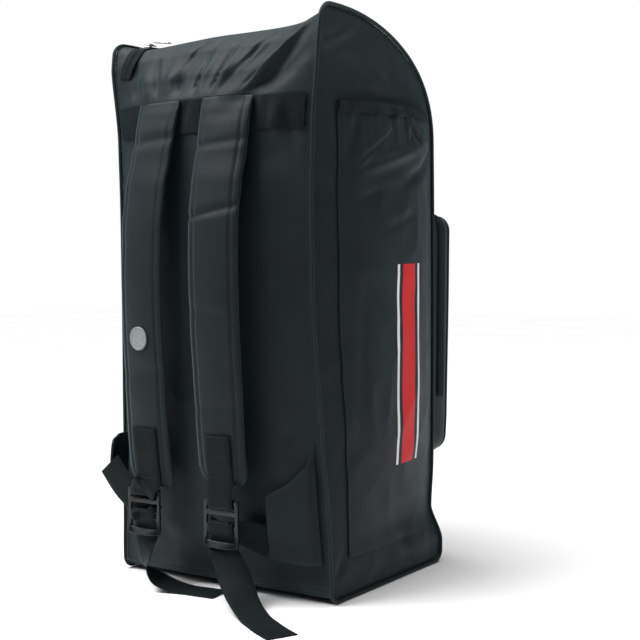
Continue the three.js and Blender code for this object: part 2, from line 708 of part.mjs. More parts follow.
// One ring of the pocket: share of its depth, and a further distance off the panel.
function pocketRing(inset, share, further) {
  return pocketOutline(inset).map((place) => {
    const proud = share * pocketDepthAt(place.z) + further + FRONT_POCKET_LIFT;
    return vec(place.x, frontFace(place.x, place.z).y + proud, place.z);
  });
}

// Rings of the pocket from its face to its root: inset as a share of its width, share of
// its depth, swell as a share of FRONT_POCKET_DEPTH and setback as a share of its edge
const POCKET_RINGS = [
  { inset: 0.34, share: 1.0, swell: 0.072, setback: 0 },
  { inset: 0.17, share: 1.0, swell: 0.044, setback: 0 },
  { inset: 0.025, share: 1.0, swell: 0, setback: 0 },
  { inset: 0.0, share: 1.0, swell: 0, setback: 1 },
  { inset: -0.006, share: 0.5, swell: 0, setback: 0 },
  { inset: 0.0, share: 0.0, swell: 0, setback: 0 },
];
const ringFurther = (row) => row.swell * FRONT_POCKET_DEPTH - row.setback * FRONT_POCKET_EDGE;
const outerRings = POCKET_RINGS.map((row) => {
  return pocketRing(row.inset * FRONT_POCKET_WIDTH, row.share, ringFurther(row));
});
const innerRings = [...POCKET_RINGS].reverse().map((row) => {
  const wall = row.share > 0.9 ? CLOTH : 0;
  return pocketRing(row.inset * FRONT_POCKET_WIDTH + CLOTH, row.share, ringFurther(row) - wall);
});
addMesh('front_pocket', ringsGeometry([...outerRings, ...innerRings], false), NYLON);

const beadOut = (FRONT_PIPING_RADIUS + GAP + seamGap / 2) / Math.SQRT2;
const edgeInset = FRONT_POCKET_EDGE / 2 - beadOut;
const beadNodes = pocketRing(edgeInset, 1, -edgeInset);
const beadRings = beadNodes.map((node, i) => {
  const place = pocketOutline(edgeInset)[i];
  const ring = [];
  for (let k = 0; k < pipingSides; k += 1) {
    const turn = (2 * Math.PI * k) / pipingSides;
    const out = FRONT_PIPING_RADIUS * Math.cos(turn);
    const lift = FRONT_PIPING_RADIUS * Math.sin(turn);
    ring.push(node.clone().add(vec(place.outX * out, lift, place.outZ * out)));
  }
  return ring;
});
addMesh('front_pocket_piping', ringsGeometry(beadRings, true), NYLON);


// Pocket zip: up the right of the pocket, over its head and down its left.
const bulge = -POCKET_RINGS[4].inset * FRONT_POCKET_WIDTH;
const zipInset = -(bulge + FRONT_ZIP_CLEARANCE + ZIP_THICK / 2);
const pocketZipNodes = pocketRing(zipInset, POCKET_RINGS[4].share, 0);
const pocketQuarter = POCKET_TURNS + POCKET_STRAIGHTS;
const zipStart = 3 * pocketQuarter + POCKET_TURNS + 1;
const zipCount = 2 * pocketQuarter + POCKET_STRAIGHTS - 1;
const pocketZipSections = [];
for (let i = 0; i < zipCount; i += 1) {
  pocketZipSections.push({
    at: pocketZipNodes[(zipStart + i) % pocketZipNodes.length],
    wide: vec(0, 1, 0),
    width: FRONT_ZIP_WIDTH,
    thickness: ZIP_THICK,
  });
}
addMesh('front_pocket_zip', ringsGeometry(ribbonRings(pocketZipSections), false), WEBBING);

// Shoulder straps: rows from the seam down to the rounded foot. Middle across the bag as a
// share of WIDTH, distance off the back as a share of STRAP_STANDOFF, thickness and width
// as shares of their own sizes, and how far the strap follows the back's curve.
const STRAP_ROWS = [
  { up: 1.0, left: -0.188, right: 0.142, off: 0.14, thick: 0.4, wide: 1.0, follow: 1.0 },
  { up: 0.965, left: -0.191, right: 0.142, off: 0.14, thick: 0.8, wide: 1.0, follow: 1.0 },
  { up: 0.92, left: -0.196, right: 0.142, off: 0.2, thick: 1.0, wide: 1.0, follow: 0.95 },
  { up: 0.86, left: -0.203, right: 0.142, off: 0.4, thick: 1.0, wide: 1.0, follow: 0.85 },
  { up: 0.78, left: -0.21, right: 0.142, off: 0.72, thick: 1.0, wide: 1.0, follow: 0.7 },
  { up: 0.68, left: -0.213, right: 0.142, off: 0.95, thick: 1.0, wide: 1.0, follow: 0.6 },
  { up: 0.55, left: -0.216, right: 0.143, off: 1.0, thick: 1.0, wide: 1.0, follow: 0.55 },
  { up: 0.4, left: -0.218, right: 0.144, off: 0.98, thick: 1.0, wide: 1.0, follow: 0.5 },
  { up: 0.25, left: -0.219, right: 0.144, off: 0.9, thick: 1.0, wide: 1.0, follow: 0.4 },
  { up: 0.12, left: -0.219, right: 0.143, off: 0.82, thick: 1.0, wide: 1.0, follow: 0.3 },
  { up: 0.045, left: -0.22, right: 0.142, off: 0.78, thick: 1.0, wide: 0.98, follow: 0.2 },
  { up: 0.015, left: -0.22, right: 0.142, off: 0.77, thick: 0.95, wide: 0.86, follow: 0.2 },
  { up: 0.0, left: -0.22, right: 0.142, off: 0.77, thick: 0.85, wide: 0.55, follow: 0.2 },
];
const STRAP_SECTION = [
  { across: -1.0, over: 0.3 },
  { across: -0.9, over: 0.0 },
  { across: 0.0, over: 0.0 },
  { across: 0.9, over: 0.0 },
  { across: 1.0, over: 0.3 },
  { across: 1.0, over: 0.7 },
  { across: 0.9, over: 0.96 },
  { across: 0.0, over: 1.0 },
  { across: -0.9, over: 0.96 },
  { across: -1.0, over: 0.7 },
];

function strapAt(side, z, column) {
  const up = (z - STRAP_FOOT[side]) / (STRAP_TOP - STRAP_FOOT[side]);
  return lookup([...STRAP_ROWS].reverse().map((row) => ({ ...row, at: row.up })), up, column ?? side);
}

// Depth position of a strap: over is 0 on its inner face and 1 on its outer face.
function strapY(side, x, z, over) {
  const middle = WIDTH * strapAt(side, z);
  const follow = strapAt(side, z, 'follow');
  const carried = mix(rearFace(middle, z).y, rearFace(x, z).y, follow);
  const off = STRAP_STANDOFF * strapAt(side, z, 'off') + STRAP_SEATING[side];
  return carried - off - over * STRAP_THICK * strapAt(side, z, 'thick');
}

function addStrap(side) {
  const rings = STRAP_ROWS.map((row) => {
    const z = mix(STRAP_FOOT[side], STRAP_TOP, row.up);
    return STRAP_SECTION.map((corner) => {
      const x = WIDTH * row[side] + (corner.across * row.wide * STRAP_WIDTH) / 2;
      return vec(x, strapY(side, x, z, corner.over), z);
    });
  });
  addMesh(`shoulder_strap_${side}`, ringsGeometry(rings, false), NYLON);
}

// Ladder-lock buckles. Slots as shares of the buckle's height, from its foot.
const BUCKLE_SLOTS = [
  { low: 0.12, high: 0.35 },
  { low: 0.46, high: 0.66 },
  { low: 0.765, high: 0.885 },
];
const BUCKLE_ACROSS = { left: -0.25, right: 0.141 };
const BUCKLE_SINK = BUCKLE_THICK * 0.6;
const BUCKLE_FOOT = BUCKLE_TOP - BUCKLE_HEIGHT;

function buckleMiddle(side) {
  const foot = STRAP_FOOT[side];
  const strapX = WIDTH * strapAt(side, foot);
  return {
    x: WIDTH * BUCKLE_ACROSS[side],
    y: strapY(side, strapX, foot + WEB_WIDTH / 2, 1) + BUCKLE_SINK,
    z: BUCKLE_FOOT + BUCKLE_HEIGHT / 2,
  };
}

function addBuckle(side) {
  const middle = buckleMiddle(side);
  const half = BUCKLE_WIDTH / 2;
  const bevel = BUCKLE_RAIL * 0.8;
  const shape = new THREE.Shape();
  shape.moveTo(-half + bevel, 0);
  shape.lineTo(half - bevel, 0);
  shape.lineTo(half, bevel);
  shape.lineTo(half, BUCKLE_HEIGHT - bevel);
  shape.lineTo(half - bevel, BUCKLE_HEIGHT);
  shape.lineTo(-half + bevel, BUCKLE_HEIGHT);
  shape.lineTo(-half, BUCKLE_HEIGHT - bevel);
  shape.lineTo(-half, bevel);
  shape.closePath();
  for (const slot of BUCKLE_SLOTS) {
    const hole = new THREE.Path();
    const edge = half - BUCKLE_RAIL;
    hole.moveTo(-edge, slot.low * BUCKLE_HEIGHT);
    hole.lineTo(-edge, slot.high * BUCKLE_HEIGHT);
    hole.lineTo(edge, slot.high * BUCKLE_HEIGHT);
    hole.lineTo(edge, slot.low * BUCKLE_HEIGHT);
    hole.closePath();
    shape.holes.push(hole);
  }
  const geometry = new THREE.ExtrudeGeometry(shape, { depth: BUCKLE_THICK, bevelEnabled: false });
  geometry.rotateX(Math.PI / 2);
  geometry.translate(middle.x, middle.y + BUCKLE_THICK / 2, BUCKLE_FOOT);
  addMesh(`ladder_buckle_${side}`, geometry, PLASTIC);
}

const webClear = BUCKLE_THICK / 2 + WEB_THICK / 2 + BUCKLE_CLEARANCE;
const slotHeight = (index, edge) => BUCKLE_FOOT + BUCKLE_HEIGHT * BUCKLE_SLOTS[index][edge];

// Webbing sewn on a strap's outer face, taken round the buckle's top bar.
function addStrapWeb(side) {
  const buckle = buckleMiddle(side);
  const foot = STRAP_FOOT[side];
  const strapX = (z) => WIDTH * strapAt(side, z);
  const sections = [];
  const add = (x, y, z) => sections.push({
    at: vec(x, y, z), wide: vec(1, 0, 0), width: WEB_WIDTH, thickness: WEB_THICK,
  });
  for (const share of [1, 0.66, 0.33, 0.1]) {
    const z = mix(foot, PATCH_TOP, share);
    add(strapX(z), strapY(side, strapX(z), z, 1) - WEB_THICK / 2 - WEB_LIFT, z);
  }
  const barLow = slotHeight(2, 'high');
  const barMiddle = (barLow + BUCKLE_TOP) / 2;
  const bend = WEB_THICK * 0.8;
  const through = barLow - WEB_THICK / 2 - bend - BUCKLE_CLEARANCE - GAP / 2;
  add(mix(strapX(foot), buckle.x, 0.4), buckle.y - webClear - WEB_THICK / 2, mix(BUCKLE_TOP, foot, 0.5));
  add(buckle.x, buckle.y - webClear, barMiddle);
  add(buckle.x, buckle.y - webClear * 0.8, barLow - bend);
  add(buckle.x, buckle.y, through);
  add(buckle.x, buckle.y + webClear * 0.8, barLow - bend);
  add(buckle.x, buckle.y + webClear, barMiddle);
  add(buckle.x, buckle.y + webClear, BUCKLE_TOP);
  addMesh(`strap_web_${side}`, ringsGeometry(ribbonRings(sections), false), WEBBING);
}

// Cloth wings in the side seams: rows from the seam to the free edge. Place across as a
// share of the half width, heights as shares of HEIGHT, distance off the back as a share
// of DEPTH.
const WINGS = {
  left: [
    { across: -0.95, foot: 0.15, head: 0.265, off: 0.0015 },
    { across: -0.985, foot: 0.162, head: 0.262, off: 0.07 },
    { across: -0.975, foot: 0.174, head: 0.254, off: 0.115 },
    { across: -0.925, foot: 0.18, head: 0.248, off: 0.14 },
  ],
  right: [
    { across: 0.95, foot: 0.07, head: 0.272, off: 0.0115 },
    { across: 0.9, foot: 0.068, head: 0.238, off: 0.034 },
    { across: 0.76, foot: 0.07, head: 0.207, off: 0.045 },
    { across: 0.6, foot: 0.076, head: 0.186, off: 0.06 },
  ],
};
const WING_STEPS = 3;

function wingPoint(row, up) {
  const z = HEIGHT * mix(row.foot, row.head, up);
  const x = row.across * rearEdge(z).x;
  const puff = Math.sin(Math.PI * up) * WING_THICK;
  return vec(x, rearFace(x, z).y - row.off * DEPTH - puff, z);
}

function addWing(side) {
  const grid = WINGS[side].map((row) => {
    const points = [];
    for (let i = 0; i <= WING_STEPS; i += 1) points.push(wingPoint(row, i / WING_STEPS));
    return points;
  });
  const outward = side === 'left' ? -1 : 1;
  const normals = gridNormals(grid, outward);
  addMesh(`anchor_wing_${side}`, sheetGeometry(grid, WING_THICK, normals), NYLON);
}

// Adjuster webbing from the wing to the buckle. Way from the buckle to the wing as a share
// of their distance, and direction of the webbing's width.
const LEAD_ROWS = {
  left: [
    { way: 1.0, rise: 0.92, wideX: 0.5, wideZ: 0.86 },
    { way: 0.66, rise: 0.48, wideX: 0.72, wideZ: 0.69 },
    { way: 0.3, rise: 0.18, wideX: 0.95, wideZ: 0.32 },
  ],
  right: [
    { way: 1.0, rise: -0.42, wideX: 0.12, wideZ: 0.99 },
    { way: 0.62, rise: -0.3, wideX: 0.6, wideZ: 0.8 },
    { way: 0.28, rise: -0.2, wideX: 0.9, wideZ: 0.43 },
  ],
};

// The webbing lies over the left wing's free edge and behind the right one's
const WEB_OFF_WING = {
  left: -WEB_THICK / 2 - 0.25 * WING_CLEARANCE,
  right: WING_THICK + WEB_THICK + 3.4 * WING_CLEARANCE,
};

// Loose tails: way along the reach, way across it and height as a share of the buckle's
// foot height, and the direction of the width.
const TAIL_ROWS = {
  left: [
    { along: 0.0, across: 0.0, up: 0.72, wideX: 0.95, wideY: -0.3, wideZ: 0.0 },
    { along: 0.06, across: -0.04, up: 0.42, wideX: 0.8, wideY: -0.55, wideZ: -0.2 },
    { along: 0.18, across: 0.0, up: 0.2, wideX: 0.5, wideY: -0.84, wideZ: -0.18 },
    { along: 0.36, across: 0.07, up: 0.06, wideX: 0.2, wideY: -0.98, wideZ: -0.04 },
    { along: 0.55, across: 0.13, up: 0.0, wideX: 0.05, wideY: -1.0, wideZ: 0.0 },
    { along: 0.78, across: 0.16, up: 0.0, wideX: 0.0, wideY: -1.0, wideZ: 0.0 },
    { along: 1.0, across: 0.19, up: 0.0, wideX: 0.08, wideY: -1.0, wideZ: 0.0 },
  ],
  right: [
    { along: 0.02, across: 0.0, up: 0.93, wideX: 1.0, wideY: 0.0, wideZ: -0.12 },
    { along: 0.1, across: -0.03, up: 0.72, wideX: 0.96, wideY: 0.0, wideZ: -0.26 },
    { along: 0.22, across: -0.08, up: 0.44, wideX: 0.9, wideY: 0.2, wideZ: -0.36 },
    { along: 0.34, across: -0.14, up: 0.2, wideX: 0.8, wideY: 0.5, wideZ: -0.26 },
    { along: 0.46, across: -0.2, up: 0.06, wideX: 0.66, wideY: 0.75, wideZ: -0.08 },
    { along: 0.6, across: -0.28, up: 0.0, wideX: 0.56, wideY: 0.83, wideZ: 0.0 },
    { along: 0.8, across: -0.4, up: 0.0, wideX: 0.55, wideY: 0.84, wideZ: 0.0 },
    { along: 1.0, across: -0.5, up: 0.0, wideX: 0.52, wideY: 0.85, wideZ: 0.0 },
  ],
};
const TAIL_REACH = { left: LEFT_TAIL_REACH, right: RIGHT_TAIL_REACH };

// The webbing's way over the buckle's middle bar and behind its foot bar: out as a share of
// its clearance, and rise from that bar as a share of the buckle's height.
const WAVE_ROWS = [
  { bar: 'barHigh', out: 0.95, rise: 0.035 },
  { bar: 'barHigh', out: 0.0, rise: 0.062 },
  { bar: 'barHigh', out: -0.95, rise: 0.024 },
  { bar: 'barMiddle', out: -1.05, rise: 0.0 },
  { bar: 'barLow', out: -0.95, rise: -0.03 },
  { bar: 'barLow', out: 0.0, rise: -0.096 },
  { bar: 'barLow', out: 0.9, rise: -0.162 },
  { bar: 'footBar', out: 1.0, rise: 0.044 },
  { bar: 'footBar', out: 1.0, rise: -0.074 },
];

function addAdjusterWeb(side) {
  const buckle = buckleMiddle(side);
  const sections = [];
  const add = (x, y, z, wide) => sections.push({
    at: vec(x, y, z), wide, width: WEB_WIDTH, thickness: WEB_THICK,
  });
  const straight = vec(1, 0, 0);
  const freeEdge = WINGS[side][WINGS[side].length - 1];
  const wing = wingPoint(freeEdge, 0.5);
  const sewnAt = wing.y + WEB_OFF_WING[side];
  for (const row of LEAD_ROWS[side]) {
    const x = mix(buckle.x, wing.x, row.way);
    const y = mix(buckle.y + webClear * 2, sewnAt, row.way);
    add(x, y, buckle.z + BUCKLE_HEIGHT * row.rise, vec(row.wideX, 0, row.wideZ));
  }
  const barLow = slotHeight(0, 'high');
  const barHigh = slotHeight(1, 'low');
  const barMiddle = (barLow + barHigh) / 2;
  const footBar = BUCKLE_FOOT + (BUCKLE_HEIGHT * BUCKLE_SLOTS[0].low) / 2;
  if (side === 'right') add(buckle.x, buckle.y + webClear * 1.4, barMiddle, straight);
  const bars = { barHigh, barMiddle, barLow, footBar };
  for (const row of WAVE_ROWS) {
    add(buckle.x, buckle.y + row.out * webClear, bars[row.bar] + row.rise * BUCKLE_HEIGHT, straight);
  }
  const reach = TAIL_REACH[side];
  for (const row of TAIL_ROWS[side]) {
    const x = buckle.x + reach * row.along;
    const y = buckle.y + reach * row.across;
    const z = WEB_THICK / 2 + FLOOR_CLEARANCE + (BUCKLE_FOOT - WEB_THICK) * row.up;
    add(x, y, z, vec(row.wideX, row.wideY, row.wideZ));
  }
  addMesh(`adjuster_web_${side}`, ringsGeometry(ribbonRings(sections), false), WEBBING);
}

for (const side of ['left', 'right']) {
  addStrap(side);
  addStrapWeb(side);
  addBuckle(side);
  addWing(side);
  addAdjusterWeb(side);
}

// Plain round patch on the left strap.
const badgeX = WIDTH * strapAt('left', BADGE_HEIGHT);
const badgeSlope = (strapY('left', badgeX + BADGE_RADIUS, BADGE_HEIGHT, 1)
  - strapY('left', badgeX - BADGE_RADIUS, BADGE_HEIGHT, 1)) / (2 * BADGE_RADIUS);
const badge = new THREE.CylinderGeometry(BADGE_RADIUS, BADGE_RADIUS, BADGE_THICK, 16);
badge.rotateZ(Math.atan(badgeSlope));
const badgeY = strapY('left', badgeX, BADGE_HEIGHT, 1) - BADGE_THICK / 2 - WEB_LIFT;
badge.translate(badgeX, badgeY, BADGE_HEIGHT);
addMesh('strap_badge', badge, GREY_RUBBER);

export default bag;
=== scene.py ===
"""Looks of a kit bag that stands on its base, in metres, +Z up, straps on its -Y side."""

import math

import bpy
from mathutils import Matrix, Vector, noise


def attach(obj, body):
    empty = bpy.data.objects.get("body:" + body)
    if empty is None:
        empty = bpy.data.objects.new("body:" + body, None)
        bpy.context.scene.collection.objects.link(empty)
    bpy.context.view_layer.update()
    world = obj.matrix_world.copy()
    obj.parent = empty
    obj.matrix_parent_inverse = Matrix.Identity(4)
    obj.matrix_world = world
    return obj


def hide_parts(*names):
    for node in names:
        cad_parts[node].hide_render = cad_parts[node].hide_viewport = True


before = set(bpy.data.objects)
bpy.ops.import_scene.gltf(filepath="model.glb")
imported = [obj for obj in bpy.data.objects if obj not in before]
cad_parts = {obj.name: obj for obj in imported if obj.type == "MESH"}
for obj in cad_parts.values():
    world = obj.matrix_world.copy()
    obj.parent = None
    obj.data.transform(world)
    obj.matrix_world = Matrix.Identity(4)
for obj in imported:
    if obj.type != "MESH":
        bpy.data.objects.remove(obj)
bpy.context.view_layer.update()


def table(columns, rows):
    """Rows of values as rows with named columns."""
    return [dict(zip(columns, row)) for row in rows]


# Uneven cloth: its waves, its short creases, and the places in the noise
WAVE_LONG = 0.11
WAVE_TALL = 0.16
WAVE_OUT = 0.0016
CREASE_LONG = 0.07
CREASE_SHARP = 1.6
CREASE_BEND = 0.03
CREASE_SUNK = 0.6
CREASE_OUT = 0.0009
SEEDS = {"rear": 3.1, "front": 8.4, "side": 5.7, "front_pocket": 11.3, "left": 2.0, "right": 9.0}

# Body
HEIGHT = 0.874
WIDTH = 0.406
DEPTH = 0.318
SHOULDER_HEIGHT = 0.690
SEAM_HEIGHT = 0.752
CROWN_CURVE = 2.08
CORNER_RADIUS = 0.015
RIDGE_RADIUS = 0.020
RIDGE_LAND = 0.003
BASE_RISE = 0.006
WALL = 0.0026
CLOTH = 0.0016
GAP = 0.00035
SEAM_CLEARANCE = 0.0002
PANEL_SEAM = 0.0001
BEAD_CLEARANCE = 0.00003
BEAD_SEAT = 0.00014
BEAD_SIDES = 10
BEAD_STEP = 0.002
PIPING_RADIUS = 0.003
LEFT_SLUMP = 0.024
SLUMP_HEIGHT = 0.700
SLUMP_CURVE = 1.5
FOLD_REACH = 2.6
HEM_SHARE = 0.1
SIDE_HEM_SHARE = 0.12
SEAM_FADE = 0.02
FOOT_FADE = 0.03
DENT_FADE = 0.060
REAR_ROUND = 2.4
FRONT_ROUND = 3
SIDE_ROUND = 2.6
SAG_ROUND = 7
CORNER_STEPS = 8
BASE_STEPS = 30
WALL_STEPS = 74
CROWN_STEPS = 54
RIDGE_STEPS = 46
BACK_STEPS = 150
PANEL_COLUMNS = 120
SIDE_STEPS = 110
SIDE_CROWN_STEPS = 44
SIDE_COLUMNS = 64
REAR = -DEPTH / 2
FRONT = DEPTH / 2
TOP_LAND = REAR + RIDGE_RADIUS + RIDGE_LAND

# Band and zips
YOKE_HEIGHT = 0.050
YOKE_INSET = 0.009
YOKE_DROP = 0.003
YOKE_LIFT = 0.0015
YOKE_RIB_PITCH = 0.0026
YOKE_RIB_DEPTH = 0.0003
ZIP_WIDTH = 0.026
ZIP_THICK = 0.0012
ZIP_LIFT = 0.0026
TOOTH_PITCH = 0.0026
TOOTH_OUT = 0.0011
TOOTH_HALF = 0.0021
TOOTH_RADIUS = 0.0009
COIL_LIFT = ZIP_THICK / 2 + 0.0006

# Side pocket
POCKET_MOUTH_HEIGHT = 0.740
POCKET_FOOT_HEIGHT = 0.064
POCKET_SLACK = 0.015
POCKET_CLEARANCE = 0.00105
POCKET_REAR = -0.735
POCKET_FRONT = 0.82
POCKET_FOOT_SLACK = 0.25
POCKET_ROUND = 2.5
GATHER_DEPTH = 0.0006
GATHER_FROM = 0.86
ELASTIC_HEIGHT = 0.016
ELASTIC_THICK = 0.0026
ELASTIC_PUFF = 0.0009
ELASTIC_RIDGE = 0.00012

# Front pocket
FRONT_POCKET_FOOT = 0.176
FRONT_POCKET_HEAD = 0.574
FRONT_POCKET_MARGIN = 0.022
FRONT_POCKET_DEPTH = 0.070
FRONT_POCKET_FOOT_DEPTH = 0.058
FRONT_POCKET_CORNER = 0.026
FRONT_POCKET_EDGE = 0.009
FRONT_POCKET_LIFT = 0.0018
FRONT_POCKET_WIDTH = WIDTH - 2 * FRONT_POCKET_MARGIN
FRONT_PIPING_RADIUS = 0.0024
FRONT_ZIP_WIDTH = 0.0195
POCKET_TURNS = 8
POCKET_STRAIGHTS = 20
ZIP_END_STEPS = 4

# Straps, webbing and buckles
STRAP_WIDTH = 0.086
STRAP_THICK = 0.014
STRAP_STANDOFF = 0.030
STRAP_SEATING = {"left": 0.0, "right": 0.0012}
STRAP_TOP = 0.749
STRAP_FOOT = {"left": 0.160, "right": 0.178}
STRAP_BINDING = 0.24
PAD_EDGE = 0.86
BINDING_INNER = 0.80
BINDING_OUTER = 0.58
SEAM_SUNK = 0.14
SEAM_WIDE = 0.05
PAD_WAVE_LONG = 0.05
PAD_WAVE_TALL = 0.045
PAD_WAVE_OUT = 0.0009
PAD_ROUND = 0.022
WEB_WIDTH = 0.048
WEB_THICK = 0.002
WEB_LIFT = 0.0008
PATCH_TOP = 0.252
BUCKLE_WIDTH = 0.064
BUCKLE_HEIGHT = 0.071
BUCKLE_THICK = 0.005
BUCKLE_RAIL = 0.0055
BUCKLE_CLEARANCE = 0.0008
BUCKLE_TOP = 0.156
BUCKLE_FOOT = BUCKLE_TOP - BUCKLE_HEIGHT
BUCKLE_BEVEL = 0.0011
LIP_OUT = 0.006
LIP_TOP = 0.2
LIP_ENDS = 0.45
LIP_SAG = 0.0022
MIDDLE_BAR = (0.34, 0.47)
MIDDLE_BAR_OUT = 0.0006
TAIL_REACH = {"left": 0.130, "right": 0.175}
WING_THICK = 0.003
WING_CLEARANCE = 0.0016
WING_FOLD = 0.0012
WING_CELLS = 30
WING_RIBS = (0.8, 0.86, 0.92, 0.97)
WING_HEMS = (0.05, 0.95)
PATCH_INSET = 0.004
PATCH_SEAMS = (0.14, 0.55, 0.97)
FLOOR_CLEARANCE = 0.0001
BADGE_RADIUS = 0.018
BADGE_HEIGHT = 0.390
BADGE_SIDES = 48
BADGE_HOLE = 0.004

# The badge's section: share of its radius, and how far out, from its middle to its back
BADGE_PROFILE = [
    (0.0, 0.0008), (0.55, 0.0008), (0.62, 0.0012), (0.68, 0.0008), (0.82, 0.0008),
    (0.87, 0.0018), (0.96, 0.0018), (1.0, 0.0012), (1.0, -0.0004), (0.5, -0.0004), (0.0, -0.0004),
]

# How far the four upright edges are pulled in sideways and out in depth, as shares of
# WIDTH and DEPTH, at shares of HEIGHT
EDGE_PULL = table(("at", "rear_in", "rear_out", "front_in", "front_out"), [
    (0.0, 0.0, 0.0, 0.0, 0.0),
    (0.045, 0.0, 0.0, 0.0, 0.0),
    (0.105, 0.004, 0.0, 0.038, -0.028),
    (0.19, 0.012, 0.008, 0.042, 0.006),
    (0.27, 0.024, 0.016, 0.044, 0.022),
    (0.51, 0.047, 0.038, 0.044, 0.032),
    (0.68, 0.049, 0.038, 0.044, 0.032),
    (0.8, 0.042, 0.034, 0.042, 0.026),
    (0.94, 0.014, 0.034, 0.018, 0.0),
    (1.0, 0.01, 0.014, 0.01, -0.014),
])

# How far the middle of each face swells out and sags down, as shares of DEPTH (WIDTH on
# the sides) and HEIGHT, at shares of HEIGHT
FILL_COLUMNS = ("at", "out", "drop")
REAR_FILL = table(FILL_COLUMNS, [
    (0.0, 0.0, 0.0),
    (0.04, 0.045, 0.0),
    (0.11, 0.09, 0.0),
    (0.3, 0.12, 0.0),
    (0.6, 0.12, 0.0),
    (0.8, 0.105, 0.0),
    (0.855, 0.088, 0.0),
    (0.9, 0.045, 0.002),
    (0.95, -0.015, 0.008),
    (0.985, -0.055, 0.018),
    (1.0, -0.075, 0.024),
])
FRONT_FILL = table(FILL_COLUMNS, [
    (0.0, 0.0, 0.0),
    (0.05, 0.02, 0.0),
    (0.2, 0.035, 0.0),
    (0.6, 0.035, 0.0),
    (0.78, 0.035, 0.002),
    (0.88, 0.035, 0.008),
    (0.95, 0.045, 0.016),
    (0.985, 0.065, 0.022),
    (1.0, 0.075, 0.024),
])
SIDE_FILL = table(("at", "out"), [
    (0.0, 0.0),
    (0.05, 0.018),
    (0.11, 0.03),
    (0.3, 0.062),
    (0.6, 0.07),
    (0.78, 0.058),
    (0.88, 0.034),
    (0.96, 0.008),
    (1.0, 0.0),
])

# Folds: middle and reach as shares of half the width (across) and of HEIGHT (up), lean as
# across per up, depth as a share of DEPTH, positive outwards
FOLD_COLUMNS = ("across", "up", "lean", "wide", "tall", "depth")
REAR_FOLDS = table(FOLD_COLUMNS, [
    (0.58, 0.912, 5.5, 0.13, 0.05, 0.022),
    (0.75, 0.9, 5.5, 0.12, 0.05, -0.03),
    (0.2, 0.905, 4.0, 0.1, 0.04, 0.014),
    (-0.2, 0.905, 3.0, 0.1, 0.04, -0.012),
    (-0.55, 0.9, 1.5, 0.1, 0.04, 0.012),
    (0.7, 0.76, 0.0, 0.16, 0.03, -0.02),
])
FACET_FOLDS = table(FOLD_COLUMNS, [
    (0.61, 0.921, 3.46, 0.035, 0.062, 0.020),
    (0.71, 0.921, 3.46, 0.055, 0.060, -0.026),
    (0.40, 0.938, 3.1, 0.026, 0.034, -0.016),
    (0.46, 0.938, 3.1, 0.032, 0.034, 0.010),
    (0.482, 0.892, 4.1, 0.026, 0.020, -0.014),
    (0.135, 0.902, 1.4, 0.024, 0.048, -0.017),
    (0.20, 0.902, 1.5, 0.034, 0.046, 0.011),
    (-0.066, 0.898, 1.0, 0.024, 0.050, -0.017),
    (0.0, 0.898, 1.1, 0.032, 0.046, 0.011),
    (-0.178, 0.952, 2.2, 0.024, 0.024, -0.014),
    (-0.25, 0.882, -0.4, 0.024, 0.030, -0.014),
    (-0.36, 0.900, 0.2, 0.050, 0.045, 0.011),
    (-0.511, 0.906, -0.85, 0.030, 0.040, -0.017),
    (-0.62, 0.900, -0.6, 0.045, 0.040, 0.011),
    (-0.77, 0.907, -0.25, 0.028, 0.044, -0.016),
])
BACK_FOLDS = table(FOLD_COLUMNS, [
    (0.72, 0.815, 0.6, 0.05, 0.03, 0.009),
    (0.84, 0.8, -0.8, 0.05, 0.04, -0.01),
    (0.62, 0.72, -1.5, 0.1, 0.05, 0.008),
    (0.8, 0.6, 0.4, 0.08, 0.08, -0.007),
    (0.6, 0.4, 0.3, 0.12, 0.09, 0.006),
    (0.78, 0.29, 1.6, 0.05, 0.03, -0.009),
    (-0.1, 0.5, 0.0, 0.06, 0.2, -0.008),
    (-0.75, 0.6, 0.2, 0.06, 0.14, -0.006),
    (0.2, 0.1, 2.0, 0.12, 0.02, -0.006),
    (-0.5, 0.09, -2.0, 0.12, 0.02, -0.006),
])
SIDE_DENTS = table(FOLD_COLUMNS, [
    (-0.7, 0.945, 0.0, 0.35, 0.03, -0.024),
    (0.1, 0.86, 0.0, 0.6, 0.012, -0.014),
    (0.2, 0.11, 0.0, 0.6, 0.025, -0.014),
])
SIDE_FOLDS = table(FOLD_COLUMNS, [
    (-0.05, 0.965, 19.0, 0.15, 0.03, 0.012),
    (-0.40, 0.965, 19.0, 0.25, 0.03, -0.014),
    (0.3, 0.885, -5.0, 0.12, 0.02, -0.006),
    (0.55, 0.72, -3.0, 0.1, 0.06, 0.005),
    (-0.35, 0.69, 9.0, 0.1, 0.012, -0.008),
    (0.1, 0.645, 12.0, 0.14, 0.014, -0.007),
    (-0.5, 0.4, 0.5, 0.08, 0.12, -0.005),
    (0.45, 0.35, -0.6, 0.08, 0.1, 0.004),
    (-0.86, 0.06, 3.0, 0.06, 0.02, -0.012),
    (0.3, 0.07, -6.0, 0.12, 0.014, -0.01),
])

# Pleats that the elastic gathers into the side pocket
POCKET_PLEATS = table(FOLD_COLUMNS, [
    (-0.20, 0.790, 5.9, 0.070, 0.042, 0.024),
    (-0.31, 0.771, 6.4, 0.055, 0.036, -0.026),
    (0.02, 0.757, 17.0, 0.200, 0.026, 0.020),
    (0.34, 0.812, -5.3, 0.035, 0.024, -0.024),
    (0.22, 0.815, -1.0, 0.030, 0.016, 0.012),
    (0.60, 0.800, -7.5, 0.060, 0.035, 0.018),
    (0.62, 0.745, 12.0, 0.160, 0.030, -0.018),
    (-0.06, 0.820, 0.5, 0.030, 0.014, -0.014),
    (-0.55, 0.800, 2.0, 0.060, 0.040, -0.012),
])

